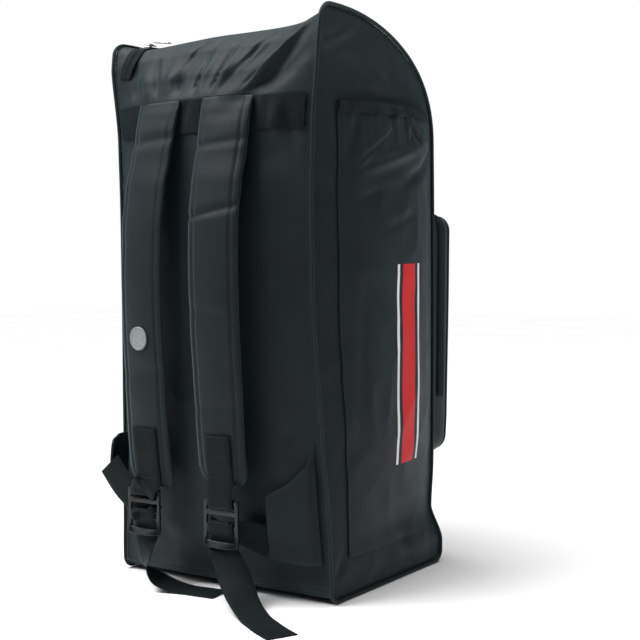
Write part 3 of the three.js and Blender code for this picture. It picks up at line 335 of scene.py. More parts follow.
# Shoulder straps from the seam down to the rounded foot, as in the solid
STRAP_ROWS = table(("at", "left", "right", "off", "thick", "wide", "follow"), [
    (1.0, -0.188, 0.142, 0.14, 0.4, 1.0, 1.0),
    (0.965, -0.191, 0.142, 0.14, 0.8, 1.0, 1.0),
    (0.92, -0.196, 0.142, 0.2, 1.0, 1.0, 0.95),
    (0.86, -0.203, 0.142, 0.4, 1.0, 1.0, 0.85),
    (0.78, -0.21, 0.142, 0.72, 1.0, 1.0, 0.7),
    (0.68, -0.213, 0.142, 0.95, 1.0, 1.0, 0.6),
    (0.55, -0.216, 0.143, 1.0, 1.0, 1.0, 0.55),
    (0.4, -0.218, 0.144, 0.98, 1.0, 1.0, 0.5),
    (0.25, -0.219, 0.144, 0.9, 1.0, 1.0, 0.4),
    (0.12, -0.219, 0.143, 0.82, 1.0, 1.0, 0.3),
    (0.045, -0.22, 0.142, 0.78, 1.0, 0.98, 0.2),
    (0.015, -0.22, 0.142, 0.77, 0.95, 0.86, 0.2),
    (0.0, -0.22, 0.142, 0.77, 0.85, 0.55, 0.2),
])
CREASE_COLUMNS = ("at", "slope", "tall", "depth")
STRAP_CREASES = {
    "left": table(CREASE_COLUMNS, [
        (0.9, 0.1, 0.012, 0.2),
        (0.62, -0.15, 0.014, 0.12),
        (0.3, 0.2, 0.016, 0.12),
    ]),
    "right": table(CREASE_COLUMNS, [
        (0.88, 0.12, 0.012, 0.2),
        (0.705, 0.25, 0.009, 0.3),
        (0.44, -0.2, 0.016, 0.14),
        (0.2, 0.15, 0.014, 0.12),
    ]),
}

# Solid parts of the buckle's height, from its foot, and its place as a share of WIDTH
BUCKLE_BARS = [0.0, 0.12, 0.35, 0.46, 0.66, 0.765, 0.885, 1.0]
BUCKLE_SLOT_ROWS = (1, 3, 5)
BUCKLE_ACROSS = {"left": -0.25, "right": 0.141}

# Cloth wings in the side seams, as in the solid
WING_COLUMNS = ("across", "foot", "head", "off")
WINGS = {
    "left": table(WING_COLUMNS, [
        (-0.95, 0.15, 0.265, 0.0015),
        (-0.985, 0.162, 0.262, 0.07),
        (-0.975, 0.174, 0.254, 0.115),
        (-0.925, 0.18, 0.248, 0.14),
    ]),
    "right": table(WING_COLUMNS, [
        (0.95, 0.07, 0.272, 0.0115),
        (0.9, 0.068, 0.238, 0.034),
        (0.76, 0.07, 0.207, 0.045),
        (0.6, 0.076, 0.186, 0.06),
    ]),
}

# The adjuster webbing from the wing to the buckle, over its bars, and its loose tail
LEAD_COLUMNS = ("way", "rise", "wide")
LEAD_ROWS = {
    "left": table(LEAD_COLUMNS, [
        (1.0, 0.92, (0.5, 0, 0.86)),
        (0.66, 0.48, (0.72, 0, 0.69)),
        (0.3, 0.18, (0.95, 0, 0.32)),
    ]),
    "right": table(LEAD_COLUMNS, [
        (1.0, -0.42, (0.12, 0, 0.99)),
        (0.62, -0.3, (0.6, 0, 0.8)),
        (0.28, -0.2, (0.9, 0, 0.43)),
    ]),
}
WEB_OFF_WING = {
    "left": -WEB_THICK / 2 - 0.25 * WING_CLEARANCE,
    "right": WING_THICK + WEB_THICK + 3.4 * WING_CLEARANCE,
}
WAVE_ROWS = table(("bar", "out", "rise"), [
    ("high", 0.95, 0.035),
    ("high", 0.0, 0.062),
    ("high", -0.95, 0.024),
    ("middle", -1.05, 0.0),
    ("low", -0.95, -0.03),
    ("low", 0.0, -0.096),
    ("low", 0.9, -0.162),
    ("foot", 1.0, 0.044),
    ("foot", 1.0, -0.074),
])
TAIL_COLUMNS = ("along", "across", "up", "wide")
TAIL_ROWS = {
    "left": table(TAIL_COLUMNS, [
        (0.0, 0.0, 0.72, (0.95, -0.3, 0.0)),
        (0.06, -0.04, 0.42, (0.8, -0.55, -0.2)),
        (0.18, 0.0, 0.2, (0.5, -0.84, -0.18)),
        (0.36, 0.07, 0.06, (0.2, -0.98, -0.04)),
        (0.55, 0.13, 0.0, (0.05, -1.0, 0.0)),
        (0.78, 0.16, 0.0, (0.0, -1.0, 0.0)),
        (1.0, 0.19, 0.0, (0.08, -1.0, 0.0)),
    ]),
    "right": table(TAIL_COLUMNS, [
        (0.02, 0.0, 0.93, (1.0, 0.0, -0.12)),
        (0.1, -0.03, 0.72, (0.96, 0.0, -0.26)),
        (0.22, -0.08, 0.44, (0.9, 0.2, -0.36)),
        (0.34, -0.14, 0.2, (0.8, 0.5, -0.26)),
        (0.46, -0.2, 0.06, (0.66, 0.75, -0.08)),
        (0.6, -0.28, 0.0, (0.56, 0.83, 0.0)),
        (0.8, -0.4, 0.0, (0.55, 0.84, 0.0)),
        (1.0, -0.5, 0.0, (0.52, 0.85, 0.0)),
    ]),
}

# Lid zip: start on the back, place on the crown, and its turn across the front
ZIP_REAR_START = {"across": -0.88, "at": 0.92}
ZIP_CROWN_ACROSS = 0.8
ZIP_FRONT_TURN = table(("across", "at"), [
    (0.8, 0.74),
    (0.8, 0.722),
    (0.762, 0.705),
    (0.68, 0.7),
    (0.4, 0.7),
    (0.13, 0.7),
])

# Plates of the zip's slider: half its length and width, and its middle above the slider's
SLIDER_PLATES = {
    "slider_low": {"half": (0.010, 0.006), "up": -0.0022, "thick": 0.0018, "bevel": 0.0007},
    "slider_top": {"half": (0.009, 0.0052), "up": 0.0012, "thick": 0.0018, "bevel": 0.0007},
    "slider_neck": {"half": (0.002, 0.0015), "up": -0.0005, "thick": 0.0030, "bevel": 0.0003},
    "slider_bridge": {"half": (0.006, 0.0013), "up": 0.0029, "thick": 0.0014, "bevel": 0.0005},
}
SLIDER_RISE = 0.0035
SLIDER_HALF = 0.006

# The puller's cuts along and across it, and the cells between them that are holes
PULLER_CUTS = [-0.017, -0.0145, -0.0095, -0.007, 0.011, 0.0145, 0.017]
PULLER_ROWS = [-0.0045, -0.0022, 0.0022, 0.0045]
PULLER_HOLES = {(1, 1), (4, 1)}
PULLER_THICK = 0.0016
PULLER_BEVEL = 0.0005
PULLER_DROOP = -0.12

# Front pocket from its face to its root, as in the solid, with a rounded edge between
POCKET_RINGS = table(("inset", "share", "swell", "setback"), [
    (0.48, 1.0, 0.081, 0.0),
    (0.4, 1.0, 0.078, 0.0),
    (0.3, 1.0, 0.0675, 0.0),
    (0.2, 1.0, 0.0495, 0.0),
    (0.11, 1.0, 0.027, 0.0),
    (0.05, 1.0, 0.009, 0.0),
    (0.025, 1.0, 0.0, 0.03),
    (0.01, 1.0, 0.0, 0.3),
    (0.0, 1.0, 0.0, 1.0),
    (-0.005, 0.75, 0.0, 0.0),
    (-0.006, 0.5, 0.0, 0.0),
    (-0.004, 0.25, 0.0, 0.0),
    (0.0, 0.0, 0.0, 0.0),
])

# Stitches: from one to the next, and the length and width of the thread that shows
STITCHES = {
    "zip": (0.0036, 0.0026, 0.0006),
    "pocket": (0.0038, 0.0027, 0.0007),
    "strap": (0.0040, 0.0028, 0.0008),
    "patch": (0.0034, 0.0026, 0.0011),
    "wing": (0.0036, 0.0027, 0.0010),
}
THREAD_FLATNESS = 0.45

# Printed stripes on the side pocket: middle and width along the depth, and ends up
STRIPES = {"red_at": 0.040, "red_wide": 0.040, "white_off": 0.033, "white_wide": 0.007}
STRIPE_FOOT = 0.186
STRIPE_HEAD = 0.498

# Light
AMBIENT = 0.030
SUN_FROM = (-0.30, -0.12, 1.0)
SUN_ANGLE = math.radians(55)
SUN_STRENGTH = 3.7
LIGHTS = {
    "top": {"at": (-0.55, -0.95, 1.75), "target": (0, -0.1, 0.80), "size": (0.9, 0.9), "power": 26},
    "left": {"at": (-2.0, -1.9, 1.7), "target": (0, 0, 0.45), "size": (0.9, 1.6), "power": 7},
    "right": {"at": (0.85, 0.35, 1.65), "target": (0.2, 0, 0.85), "size": (0.5, 0.7), "power": 9},
}
FLOOR_REACH = 6.0

# Camera
EYE = Vector((1.270, -1.708, 0.545))
AZIMUTH = math.radians(34.92)
PITCH = math.radians(3.755)
ROLL = math.radians(-0.632)
FOCAL = 1302.6
IMAGE_SIDE = 640
SENSOR = 36.0


def mix(a, b, share):
    return a + (b - a) * share


def clamp(value, low=0.0, high=1.0):
    return min(high, max(low, value))


def smooth(share):
    share = clamp(share)
    return share * share * (3 - 2 * share)


def lookup(table, at, column):
    """A smooth value of one column of a table, between its rows."""
    if at <= table[0]["at"]:
        return table[0][column]
    for before, after in zip(table, table[1:]):
        if at <= after["at"]:
            share = (at - before["at"]) / (after["at"] - before["at"])
            eased = mix(share, smooth(share), 0.5)
            return mix(before[column], after[column], eased)
    return table[-1][column]


def folds_at(folds, across, up):
    total = 0.0
    for fold in folds:
        rise = up - fold["up"]
        b = rise / fold["tall"]
        if abs(b) > FOLD_REACH:
            continue
        a = (across - fold["across"] - fold["lean"] * rise) / fold["wide"]
        if abs(a) < FOLD_REACH:
            total += fold["depth"] * math.exp(-a * a - b * b)
    return total


def slump(x, z):
    """How far a place has come down because the left top corner isn't filled."""
    side = clamp(-x / (WIDTH / 2))
    rise = max(0.0, (z - SLUMP_HEIGHT) / (HEIGHT - SLUMP_HEIGHT))
    return LEFT_SLUMP * (side * rise) ** SLUMP_CURVE


def settled(point):
    return Vector((point.x, point.y, point.z - slump(point.x, point.z)))


def creasing(point, seed):
    """Sharp-crested creases up to 1 high, from noise."""
    place = Vector((point.x / CREASE_LONG + seed, point.y / CREASE_LONG, point.z / CREASE_LONG))
    return 1 - 2 * abs(noise.noise(place)) * CREASE_SHARP


def ruffle(point, seed):
    """Soft uneven cloth: long waves and a few short creases, in metres outwards."""
    place = Vector((point.x / WAVE_LONG + seed, point.y / WAVE_LONG, point.z / WAVE_TALL))
    broad = noise.noise(place) * WAVE_OUT
    bend = Vector((noise.noise(place * 0.7), noise.noise(place * 0.9 + Vector((7, 1, 3))), 0)) * CREASE_BEND
    fine = (creasing(point + bend, seed) - CREASE_SUNK) * CREASE_OUT
    return broad + fine


# Meshes
def make_object(name, points, faces, coordinates, material, sharp=math.radians(50)):
    mesh = bpy.data.meshes.new(name)
    mesh.from_pydata([tuple(p) for p in points], [], faces)
    mesh.validate()
    place = mesh.attributes.new("cloth", "FLOAT_VECTOR", "POINT")
    if coordinates is None:
        coordinates = [(p.x, p.z, p.y) for p in points]
    place.data.foreach_set("vector", [c for row in coordinates for c in row])
    mesh.materials.append(material)
    mesh.shade_smooth()
    mesh.set_sharp_from_angle(angle=sharp)
    obj = bpy.data.objects.new(name, mesh)
    bpy.context.scene.collection.objects.link(obj)
    return obj


def oriented(points, faces):
    """The faces, all turned over if they point into the closed body."""
    volume = 0.0
    for face in faces:
        a = points[face[0]]
        for b, c in zip(face[1:-1], face[2:]):
            volume += points[b].cross(points[c]).dot(a)
    if volume < 0:
        return [tuple(reversed(face)) for face in faces]
    return faces


def grid_normals(grid, outward, looped=False):
    last = len(grid) - 1
    normals = []
    for i, row in enumerate(grid):
        down = grid[(i - 1) % len(grid)] if looped else grid[max(i - 1, 0)]
        up = grid[(i + 1) % len(grid)] if looped else grid[min(i + 1, last)]
        line = []
        for j in range(len(row)):
            across = row[min(j + 1, len(row) - 1)] - row[max(j - 1, 0)]
            line.append(across.cross(up[j] - down[j]).normalized() * outward)
        normals.append(line)
    return normals


def sheet_object(name, grid, thickness, normals, material, coordinates):
    """A grid of points as a sheet: they are its outer face."""
    rows, columns = len(grid), len(grid[0])
    outer = [p for row in grid for p in row]
    directions = [n for row in normals for n in row]
    inner = [p - n * thickness for p, n in zip(outer, directions)]
    points = [settled(p) for p in outer + inner]
    flat = [c for row in coordinates for c in row]
    faces = []
    back = rows * columns
    for i in range(rows - 1):
        for j in range(columns - 1):
            a = i * columns + j
            faces.append((a, a + 1, a + columns + 1, a + columns))
            faces.append((back + a, back + a + columns, back + a + columns + 1, back + a + 1))
    rim = list(range(columns))
    rim += [i * columns + columns - 1 for i in range(1, rows)]
    rim += [(rows - 1) * columns + j for j in range(columns - 2, -1, -1)]
    rim += [i * columns for i in range(rows - 2, 0, -1)]
    for a, b in zip(rim, rim[1:] + rim[:1]):
        faces.append((a, back + a, back + b, b))
    return make_object(name, points, oriented(points, faces), flat + flat, material)


def rings_object(name, rings, closed, material, coordinates=None, sharp=math.radians(50)):
    """Rings of equal length as a body, with flat ends or closed round into itself."""
    sides = len(rings[0])
    points = [settled(p) for ring in rings for p in ring]
    faces = []
    last = len(rings) if closed else len(rings) - 1
    for i in range(last):
        following = (i + 1) % len(rings)
        for k in range(sides):
            after = (k + 1) % sides
            faces.append((i * sides + k, i * sides + after, following * sides + after, following * sides + k))
    if not closed:
        end = (len(rings) - 1) * sides
        faces.append(tuple(reversed(range(sides))))
        faces.append(tuple(end + k for k in range(sides)))
    return make_object(name, points, oriented(points, faces), coordinates, material, sharp)


def spline(points, steps):
    """Points of a smooth curve through the given ones, with some steps between each two."""
    result = []
    for i in range(len(points) - 1):
        before = points[max(i - 1, 0)]
        a, b = points[i], points[i + 1]
        after = points[min(i + 2, len(points) - 1)]
        for step in range(steps):
            t = step / steps
            result.append(
                a
                + (b - before) * (t * 0.5)
                + (before * 2 - a * 5 + b * 4 - after) * (t * t * 0.5)
                + (a * 3 - before - b * 3 + after) * (t * t * t * 0.5)
            )
    result.append(points[-1].copy())
    return result


def arc_lengths(points):
    lengths = [0.0]
    for a, b in zip(points, points[1:]):
        lengths.append(lengths[-1] + (b - a).length)
    return lengths


def ribbon_object(name, path, wides, width, thickness, material, floor=None):
    """A flat band along a path, with rounded edges."""
    lengths = arc_lengths(path)
    half, rise = width / 2, thickness / 2
    bulge = min(rise * 0.9, half * 0.3)
    columns = 6
    upper = [mix(-half + bulge, half - bulge, k / columns) for k in range(columns + 1)]
    section = [(a, rise) for a in reversed(upper)] + [(-half, 0.0)]
    section += [(a, -rise) for a in upper] + [(half, 0.0)]
    rings, coordinates = [], []
    for i, at in enumerate(path):
        along = (path[min(i + 1, len(path) - 1)] - path[max(i - 1, 0)]).normalized()
        wide = (wides[i] - along * wides[i].dot(along)).normalized()
        thick = along.cross(wide).normalized()
        ring = [at + wide * a + thick * b for a, b in section]
        if floor is not None:
            for p in ring:
                p.z = max(p.z, floor)
        rings.append(ring)
        coordinates += [(a, lengths[i], b) for a, b in section]
    return rings_object(name, rings, False, material, coordinates)


# A spindle of six points: its ends are first and last
SPINDLE_FACES = [
    (0, 2, 1), (0, 3, 2), (0, 4, 3), (0, 1, 4),
    (5, 1, 2), (5, 2, 3), (5, 3, 4), (5, 4, 1),
]


def sew(name, rows, seam, slot):
    """Threads along rows of (point, outward direction), each half sunk in the cloth."""
    pitch, length, width = STITCHES[seam]
    points, faces = [], []
    for row in rows:
        path = [p for p, _ in row]
        lengths = arc_lengths(path)
        count = int(lengths[-1] / pitch)
        k = 0
        for n in range(count):
            start = (n + 0.5) * pitch - length / 2
            ends = []
            for at in (start, start + length):
                while k < len(path) - 2 and lengths[k + 1] < at:
                    k += 1
                span = max(lengths[k + 1] - lengths[k], 1e-9)
                share = clamp((at - lengths[k]) / span)
                ends.append(path[k].lerp(path[k + 1], share))
            normal = row[k][1]
            along = (ends[1] - ends[0]).normalized()
            side = along.cross(normal).normalized() * (width / 2)
            lift = normal * (width * THREAD_FLATNESS)
            middle = (ends[0] + ends[1]) / 2
            base = len(points)
            points += [ends[0], middle - side, middle + lift, middle + side, middle - lift, ends[1]]
            faces += [(base + a, base + b, base + c) for a, b, c in SPINDLE_FACES]
    points = [settled(p) for p in points]
    finish_piece(make_object(name, points, faces, None, THREAD), slot)


def finish_piece(obj, slot, *nodes):
    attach(obj, "root")
    if nodes:
        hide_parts(*nodes)
    return obj


# Materials
WEAVE_DEPTH = 0.00012
WORN = 1.5
SHEEN_TINT = (0.6, 0.92, 1.0, 1.0)


class Nodes:
    """Short calls to add shader nodes to one material."""

    def __init__(self, name, colour, roughness, **settings):
        self.material = bpy.data.materials.new(name)
        self.material.use_nodes = True
        self.tree = self.material.node_tree
        self.shader = self.tree.nodes["Principled BSDF"]
        self.shader.inputs["Base Color"].default_value = (*colour, 1)
        self.shader.inputs["Roughness"].default_value = roughness
        for socket, value in settings.items():
            self.shader.inputs[socket.replace("_", " ")].default_value = value
        self.place = self.add("ShaderNodeAttribute")
        self.place.attribute_name = "cloth"

    def add(self, kind, **values):
        node = self.tree.nodes.new(kind)
        for key, value in values.items():
            setattr(node, key, value)
        return node

    def link(self, output, socket):
        self.tree.links.new(output, socket)

    def math(self, operation, a, b=0.0, c=0.0):
        node = self.add("ShaderNodeMath", operation=operation)
        for socket, value in zip(node.inputs, (a, b, c)):
            if isinstance(value, (int, float)):
                socket.default_value = value
            else:
                self.link(value, socket)
        return node.outputs[0]

    def noise(self, scale, detail=3.0, rough=0.5):
        node = self.add("ShaderNodeTexNoise")
        node.inputs["Scale"].default_value = scale
        node.inputs["Detail"].default_value = detail
        node.inputs["Roughness"].default_value = rough
        self.link(self.place.outputs["Vector"], node.inputs["Vector"])
        return node.outputs["Fac"]

    def axes(self):
        node = self.add("ShaderNodeSeparateXYZ")
        self.link(self.place.outputs["Vector"], node.inputs[0])
        return node.outputs

    def wave(self, value, pitch):
        turned = self.math("MULTIPLY", value, 2 * math.pi / pitch)
        return self.math("MULTIPLY_ADD", self.math("SINE", turned), 0.5, 0.5)

    def ramp(self, value, low, high, colours):
        node = self.add("ShaderNodeMapRange")
        node.inputs["From Min"].default_value = low
        node.inputs["From Max"].default_value = high
        self.link(value, node.inputs["Value"])
        blend = self.add("ShaderNodeMix", data_type="RGBA")
        self.link(node.outputs[0], blend.inputs["Factor"])
        for socket, colour in zip((blend.inputs["A"], blend.inputs["B"]), colours):
            self.colour_into(socket, colour)
        return blend.outputs["Result"]

    def colour_into(self, socket, colour):
        if isinstance(colour, tuple):
            socket.default_value = (*colour, 1)
        else:
            self.link(colour, socket)

    def bump(self, height, distance, strength=1.0, below=None):
        node = self.add("ShaderNodeBump")
        node.inputs["Distance"].default_value = distance
        node.inputs["Strength"].default_value = strength
        self.link(height, node.inputs["Height"])
        if below is not None:
            self.link(below, node.inputs["Normal"])
        return node.outputs["Normal"]

    def rough_from(self, value, low, high):
        node = self.add("ShaderNodeMapRange")
        node.inputs["To Min"].default_value = low
        node.inputs["To Max"].default_value = high
        self.link(value, node.inputs["Value"])
        self.link(node.outputs[0], self.shader.inputs["Roughness"])

    def colour_from(self, value):
        self.link(value, self.shader.inputs["Base Color"])

    def normal_from(self, value):
        self.link(value, self.shader.inputs["Normal"])


def shade(colour, factor):
    return tuple(c * factor for c in colour)


def woven(name, colour, pitch, rough, sheen):
    """Plain-woven cloth: crossed threads, uneven dye, rubbed ridges."""
    mat = Nodes(name, colour, rough, Sheen_Weight=sheen, Sheen_Roughness=0.4,
                Sheen_Tint=SHEEN_TINT, Specular_IOR_Level=0.14)
    x, y, _ = mat.axes()
    threads = mat.math("MULTIPLY", mat.wave(x, pitch), mat.wave(y, pitch))
    cloud = mat.noise(14, 4, 0.55)
    dyed = mat.ramp(cloud, 0.3, 0.7, (shade(colour, 0.82), shade(colour, 1.18)))
    geometry = mat.add("ShaderNodeNewGeometry")
    rubbed = mat.ramp(geometry.outputs["Pointiness"], 0.5, 0.56, (dyed, shade(colour, WORN)))
    mat.colour_from(rubbed)
    mat.rough_from(mat.noise(40, 3), rough - 0.08, rough + 0.1)
    creased = mat.bump(mat.noise(60, 5, 0.6), 0.0006, 0.5)
    mat.normal_from(mat.bump(threads, WEAVE_DEPTH, 0.8, creased))
    return mat


def bag_cloth(name):
    return woven(name, (0.0080, 0.0124, 0.0140), 0.0011, 0.5, 0.12)


def nylon_material():
    return bag_cloth("bag_nylon").material


def strap_material():
    return woven("strap_nylon", (0.0066, 0.0101, 0.0113), 0.0009, 0.52, 0.14).material


def piping_material():
    return woven("piping_cloth", (0.0080, 0.0118, 0.0130), 0.0013, 0.42, 0.1).material


def ribbed_material(name, colour, pitch, rough):
    """Webbing: ribs across its length, threads slanting over them."""
    mat = Nodes(name, colour, rough, Sheen_Weight=0.05, Sheen_Roughness=0.4,
                Sheen_Tint=SHEEN_TINT, Specular_IOR_Level=0.09)
    x, y, _ = mat.axes()
    slant = mat.math("ADD", x, mat.math("MULTIPLY", y, 0.5))
    ribs = mat.math("MULTIPLY", mat.wave(y, pitch), mat.wave(slant, pitch * 0.8))
    tone = mat.ramp(ribs, 0.0, 1.0, (shade(colour, 0.6), shade(colour, 1.3)))
    cloud = mat.noise(25, 4)
    mat.colour_from(mat.ramp(cloud, 0.35, 0.75, (tone, shade(colour, 1.2))))
    mat.rough_from(cloud, rough - 0.06, rough + 0.1)
    mat.normal_from(mat.bump(ribs, 0.00035, 0.9))
    return mat.material


def printed_material():
    """Pocket cloth with a red band between two white ones, printed along its height."""
    mat = bag_cloth("pocket_nylon")
    cloth = mat.shader.inputs["Base Color"].links[0].from_socket
    x, y, _ = mat.axes()
    ragged = mat.math("MULTIPLY_ADD", mat.noise(700, 2), 0.0012, -0.0006)
    along = mat.math("ADD", x, ragged)

    def band(middle, width):
        off = mat.math("ABSOLUTE", mat.math("SUBTRACT", along, middle))
        return mat.math("LESS_THAN", off, width / 2)

    above = mat.math("GREATER_THAN", y, STRIPE_FOOT)
    inside = mat.math("MULTIPLY", above, mat.math("LESS_THAN", y, STRIPE_HEAD))
    red = mat.math("MULTIPLY", band(STRIPES["red_at"], STRIPES["red_wide"]), inside)
    left = band(STRIPES["red_at"] - STRIPES["white_off"], STRIPES["white_wide"])
    right = band(STRIPES["red_at"] + STRIPES["white_off"], STRIPES["white_wide"])
    white = mat.math("MULTIPLY", mat.math("ADD", left, right), inside)
    inked = mat.ramp(red, 0.0, 1.0, (cloth, (0.62, 0.012, 0.016)))
    mat.colour_from(mat.ramp(white, 0.0, 1.0, (inked, (0.78, 0.78, 0.77))))
    return mat.material


def thread_material():
    mat = Nodes("thread", (0.018, 0.025, 0.028), 0.55, Specular_IOR_Level=0.2)
    tone = mat.noise(500, 2)
    mat.colour_from(mat.ramp(tone, 0.3, 0.7, ((0.008, 0.012, 0.0135), (0.016, 0.022, 0.024))))
    mat.rough_from(tone, 0.45, 0.65)
    mat.normal_from(mat.bump(mat.noise(2500, 1), 0.0001, 0.6))
    return mat.material


def plastic_material():
    mat = Nodes("buckle_plastic", (0.004, 0.0045, 0.005), 0.26, Specular_IOR_Level=0.3)
    grain = mat.noise(900, 3)
    mat.rough_from(mat.noise(60, 4), 0.13, 0.26)
    mat.colour_from(mat.ramp(mat.noise(80, 3), 0.3, 0.7, ((0.005, 0.0055, 0.006), (0.010, 0.011, 0.012))))
    mat.normal_from(mat.bump(grain, 0.00008, 0.35))
    return mat.material


def coil_material():
    mat = Nodes("zip_coil", (0.008, 0.010, 0.011), 0.34, Specular_IOR_Level=0.25)
    tone = mat.noise(300, 2)
    mat.colour_from(mat.ramp(tone, 0.3, 0.7, ((0.008, 0.010, 0.011), (0.016, 0.019, 0.020))))
    mat.rough_from(tone, 0.28, 0.42)
    mat.normal_from(mat.bump(mat.noise(1500, 2), 0.00006, 0.5))
    return mat.material


def metal_material():
    mat = Nodes("zip_metal", (0.60, 0.61, 0.62), 0.24, Metallic=0.95)
    tone = mat.noise(250, 5, 0.65)
    mat.colour_from(mat.ramp(tone, 0.35, 0.7, ((0.42, 0.43, 0.44), (0.72, 0.73, 0.74))))
    mat.rough_from(mat.noise(420, 3), 0.18, 0.42)
    mat.normal_from(mat.bump(tone, 0.0001, 0.4))
    return mat.material


def badge_material():
    mat = Nodes("badge_rubber", (0.20, 0.22, 0.225), 0.6)
    tone = mat.noise(260, 4)
    mat.colour_from(mat.ramp(tone, 0.3, 0.7, ((0.15, 0.165, 0.17), (0.25, 0.27, 0.275))))
    mat.rough_from(tone, 0.5, 0.72)
    mat.normal_from(mat.bump(mat.noise(1200, 2), 0.0001, 0.5))
    return mat.material


def floor_material():
    mat = Nodes("floor", (0.9, 0.9, 0.9), 0.75)
    mat.colour_from(mat.ramp(mat.noise(3, 2), 0.3, 0.7, ((0.89, 0.89, 0.89), (0.92, 0.92, 0.92))))
    return mat.material


NYLON = nylon_material()
STRAP_CLOTH = strap_material()
PIPING = piping_material()
WEBBING = ribbed_material("webbing", (0.0058, 0.0084, 0.0094), 0.0024, 0.6)
BAND = ribbed_material("band_webbing", (0.0050, 0.0074, 0.0084), 0.0030, 0.55)
TAPE = ribbed_material("zip_tape", (0.0045, 0.0068, 0.0078), 0.0012, 0.65)
ELASTIC = ribbed_material("elastic", (0.0078, 0.0120, 0.0135), 0.0012, 0.5)
PRINTED = printed_material()
THREAD = thread_material()
PLASTIC = plastic_material()
COIL = coil_material()
METAL = metal_material()
BADGE = badge_material()


# Outline of the bag
def rear_edge(z):
    share = z / HEIGHT
    low = max(0.0, BASE_RISE + CORNER_RADIUS - z) / CORNER_RADIUS
    high = max(0.0, z - (HEIGHT - RIDGE_RADIUS)) / RIDGE_RADIUS
    rounding = CORNER_RADIUS * (1 - math.sqrt(max(0.0, 1 - low * low)))
    rounding += RIDGE_RADIUS * (1 - math.sqrt(max(0.0, 1 - high * high)))
    x = WIDTH * (0.5 - lookup(EDGE_PULL, share, "rear_in"))
    return Vector((x, REAR + rounding - DEPTH * lookup(EDGE_PULL, share, "rear_out"), z))


def front_edge(z):
    share = z / HEIGHT
    low = max(0.0, BASE_RISE + CORNER_RADIUS - z) / CORNER_RADIUS
    rise = clamp((z - SHOULDER_HEIGHT) / (HEIGHT - SHOULDER_HEIGHT))
    crown = max(0.0, 1 - rise**CROWN_CURVE) ** (1 / CROWN_CURVE)
    rounding = CORNER_RADIUS * (1 - math.sqrt(max(0.0, 1 - low * low)))
    x = WIDTH * (0.5 - lookup(EDGE_PULL, share, "front_in"))
    y = mix(TOP_LAND, FRONT, crown) - rounding + DEPTH * lookup(EDGE_PULL, share, "front_out")
    return Vector((x, y, z))


def rear_row(z):
    """The back's outer face at one height: a function of the place across it."""
    edge = rear_edge(z)
    share = z / HEIGHT
    fill = lookup(REAR_FILL, share, "out")
    drop = lookup(REAR_FILL, share, "drop")

    def at(across):
        reach = abs(across)
        swell = 1 - reach**REAR_ROUND
        fold = folds_at(REAR_FOLDS, across, share) * swell
        fine = folds_at(FACET_FOLDS, across, share) + folds_at(BACK_FOLDS, across, share)
        hem = smooth((1 - reach) / HEM_SHARE) * smooth(abs(z - SEAM_HEIGHT) / SEAM_FADE)
        point = Vector((edge.x * across, edge.y, z))
        out = DEPTH * (fill * swell + fold + fine * hem) + ruffle(point, SEEDS["rear"]) * hem
        return Vector((point.x, edge.y - out, z - HEIGHT * drop * (1 - reach**SAG_ROUND)))

    return at


def front_row(z):
    edge = front_edge(z)
    share = z / HEIGHT
    fill = lookup(FRONT_FILL, share, "out")
    drop = lookup(FRONT_FILL, share, "drop")

    def at(across):
        reach = abs(across)
        hem = smooth((1 - reach) / HEM_SHARE)
        point = Vector((edge.x * across, edge.y, z))
        out = DEPTH * fill * (1 - reach**FRONT_ROUND) + ruffle(point, SEEDS["front"]) * hem
        return Vector((point.x, edge.y + out, z - HEIGHT * drop * (1 - reach**SAG_ROUND)))

    return at


def base_row(along):
    reach = DEPTH / 2 - CORNER_RADIUS

    def at(across):
        flat = (1 - abs(across) ** 10) * (1 - abs(along) ** 10)
        return Vector((WIDTH / 2 * across, reach * along, BASE_RISE * (1 - flat)))

    return at


def steps(first, last, count):
    return [mix(first, last, i / count) for i in range(count + 1)]


def corner_heights():
    turns = steps(0, math.pi / 2, CORNER_STEPS)[1:]
    return [BASE_RISE + CORNER_RADIUS * (1 - math.cos(t)) for t in turns]


def crown_heights(count):
    turns = [math.pi / 2 * i / count for i in range(count + 1)]
    return [SHOULDER_HEIGHT + (HEIGHT - SHOULDER_HEIGHT) * math.sin(t) ** (2 / CROWN_CURVE) for t in turns]


def ridge_heights(count):
    """Heights from the seam to the ridge, closer together in the ridge's rounding."""
    low = steps(SEAM_HEIGHT, HEIGHT - RIDGE_RADIUS, count)
    turns = [math.pi / 2 * i / 6 for i in range(1, 7)]
    return low + [HEIGHT - RIDGE_RADIUS * (1 - math.sin(t)) for t in turns]


CORNER_TOP = BASE_RISE + CORNER_RADIUS


def wrap_panels():
    """The cloth round the bag: base, front, lid and back, as parts of one looped grid."""
    rows = [rear_row(z) for z in reversed(corner_heights())]
    rows += [base_row(along) for along in steps(-1, 1, BASE_STEPS)]
    rows += [front_row(z) for z in corner_heights()]
    base_front = len(rows) - 1
    rows += [front_row(z) for z in steps(CORNER_TOP, SHOULDER_HEIGHT, WALL_STEPS)[1:]]
    front_lid = len(rows) - 1
    rows += [front_row(z) for z in crown_heights(CROWN_STEPS)[1:]]
    rows += [rear_row(z) for z in reversed(ridge_heights(RIDGE_STEPS))]
    lid_back = len(rows) - 1
    rows += [rear_row(z) for z in steps(SEAM_HEIGHT, CORNER_TOP, BACK_STEPS)[1:-1]]
    inset = WALL + SEAM_CLEARANCE
    columns = steps(-1, 1, PANEL_COLUMNS)
    grid = []
    for row in rows:
        narrow = 1 - inset / row(1).x
        grid.append([row(across * narrow) for across in columns])
    normals = grid_normals(grid, -1, looped=True)
    ends = {
        "base": (0, base_front),
        "front": (base_front, front_lid),
        "lid": (front_lid, lid_back),
        "back": (lid_back, len(rows)),
    }
    for part, (first, last) in ends.items():
        wrap_panel(part, first, last, grid, normals)


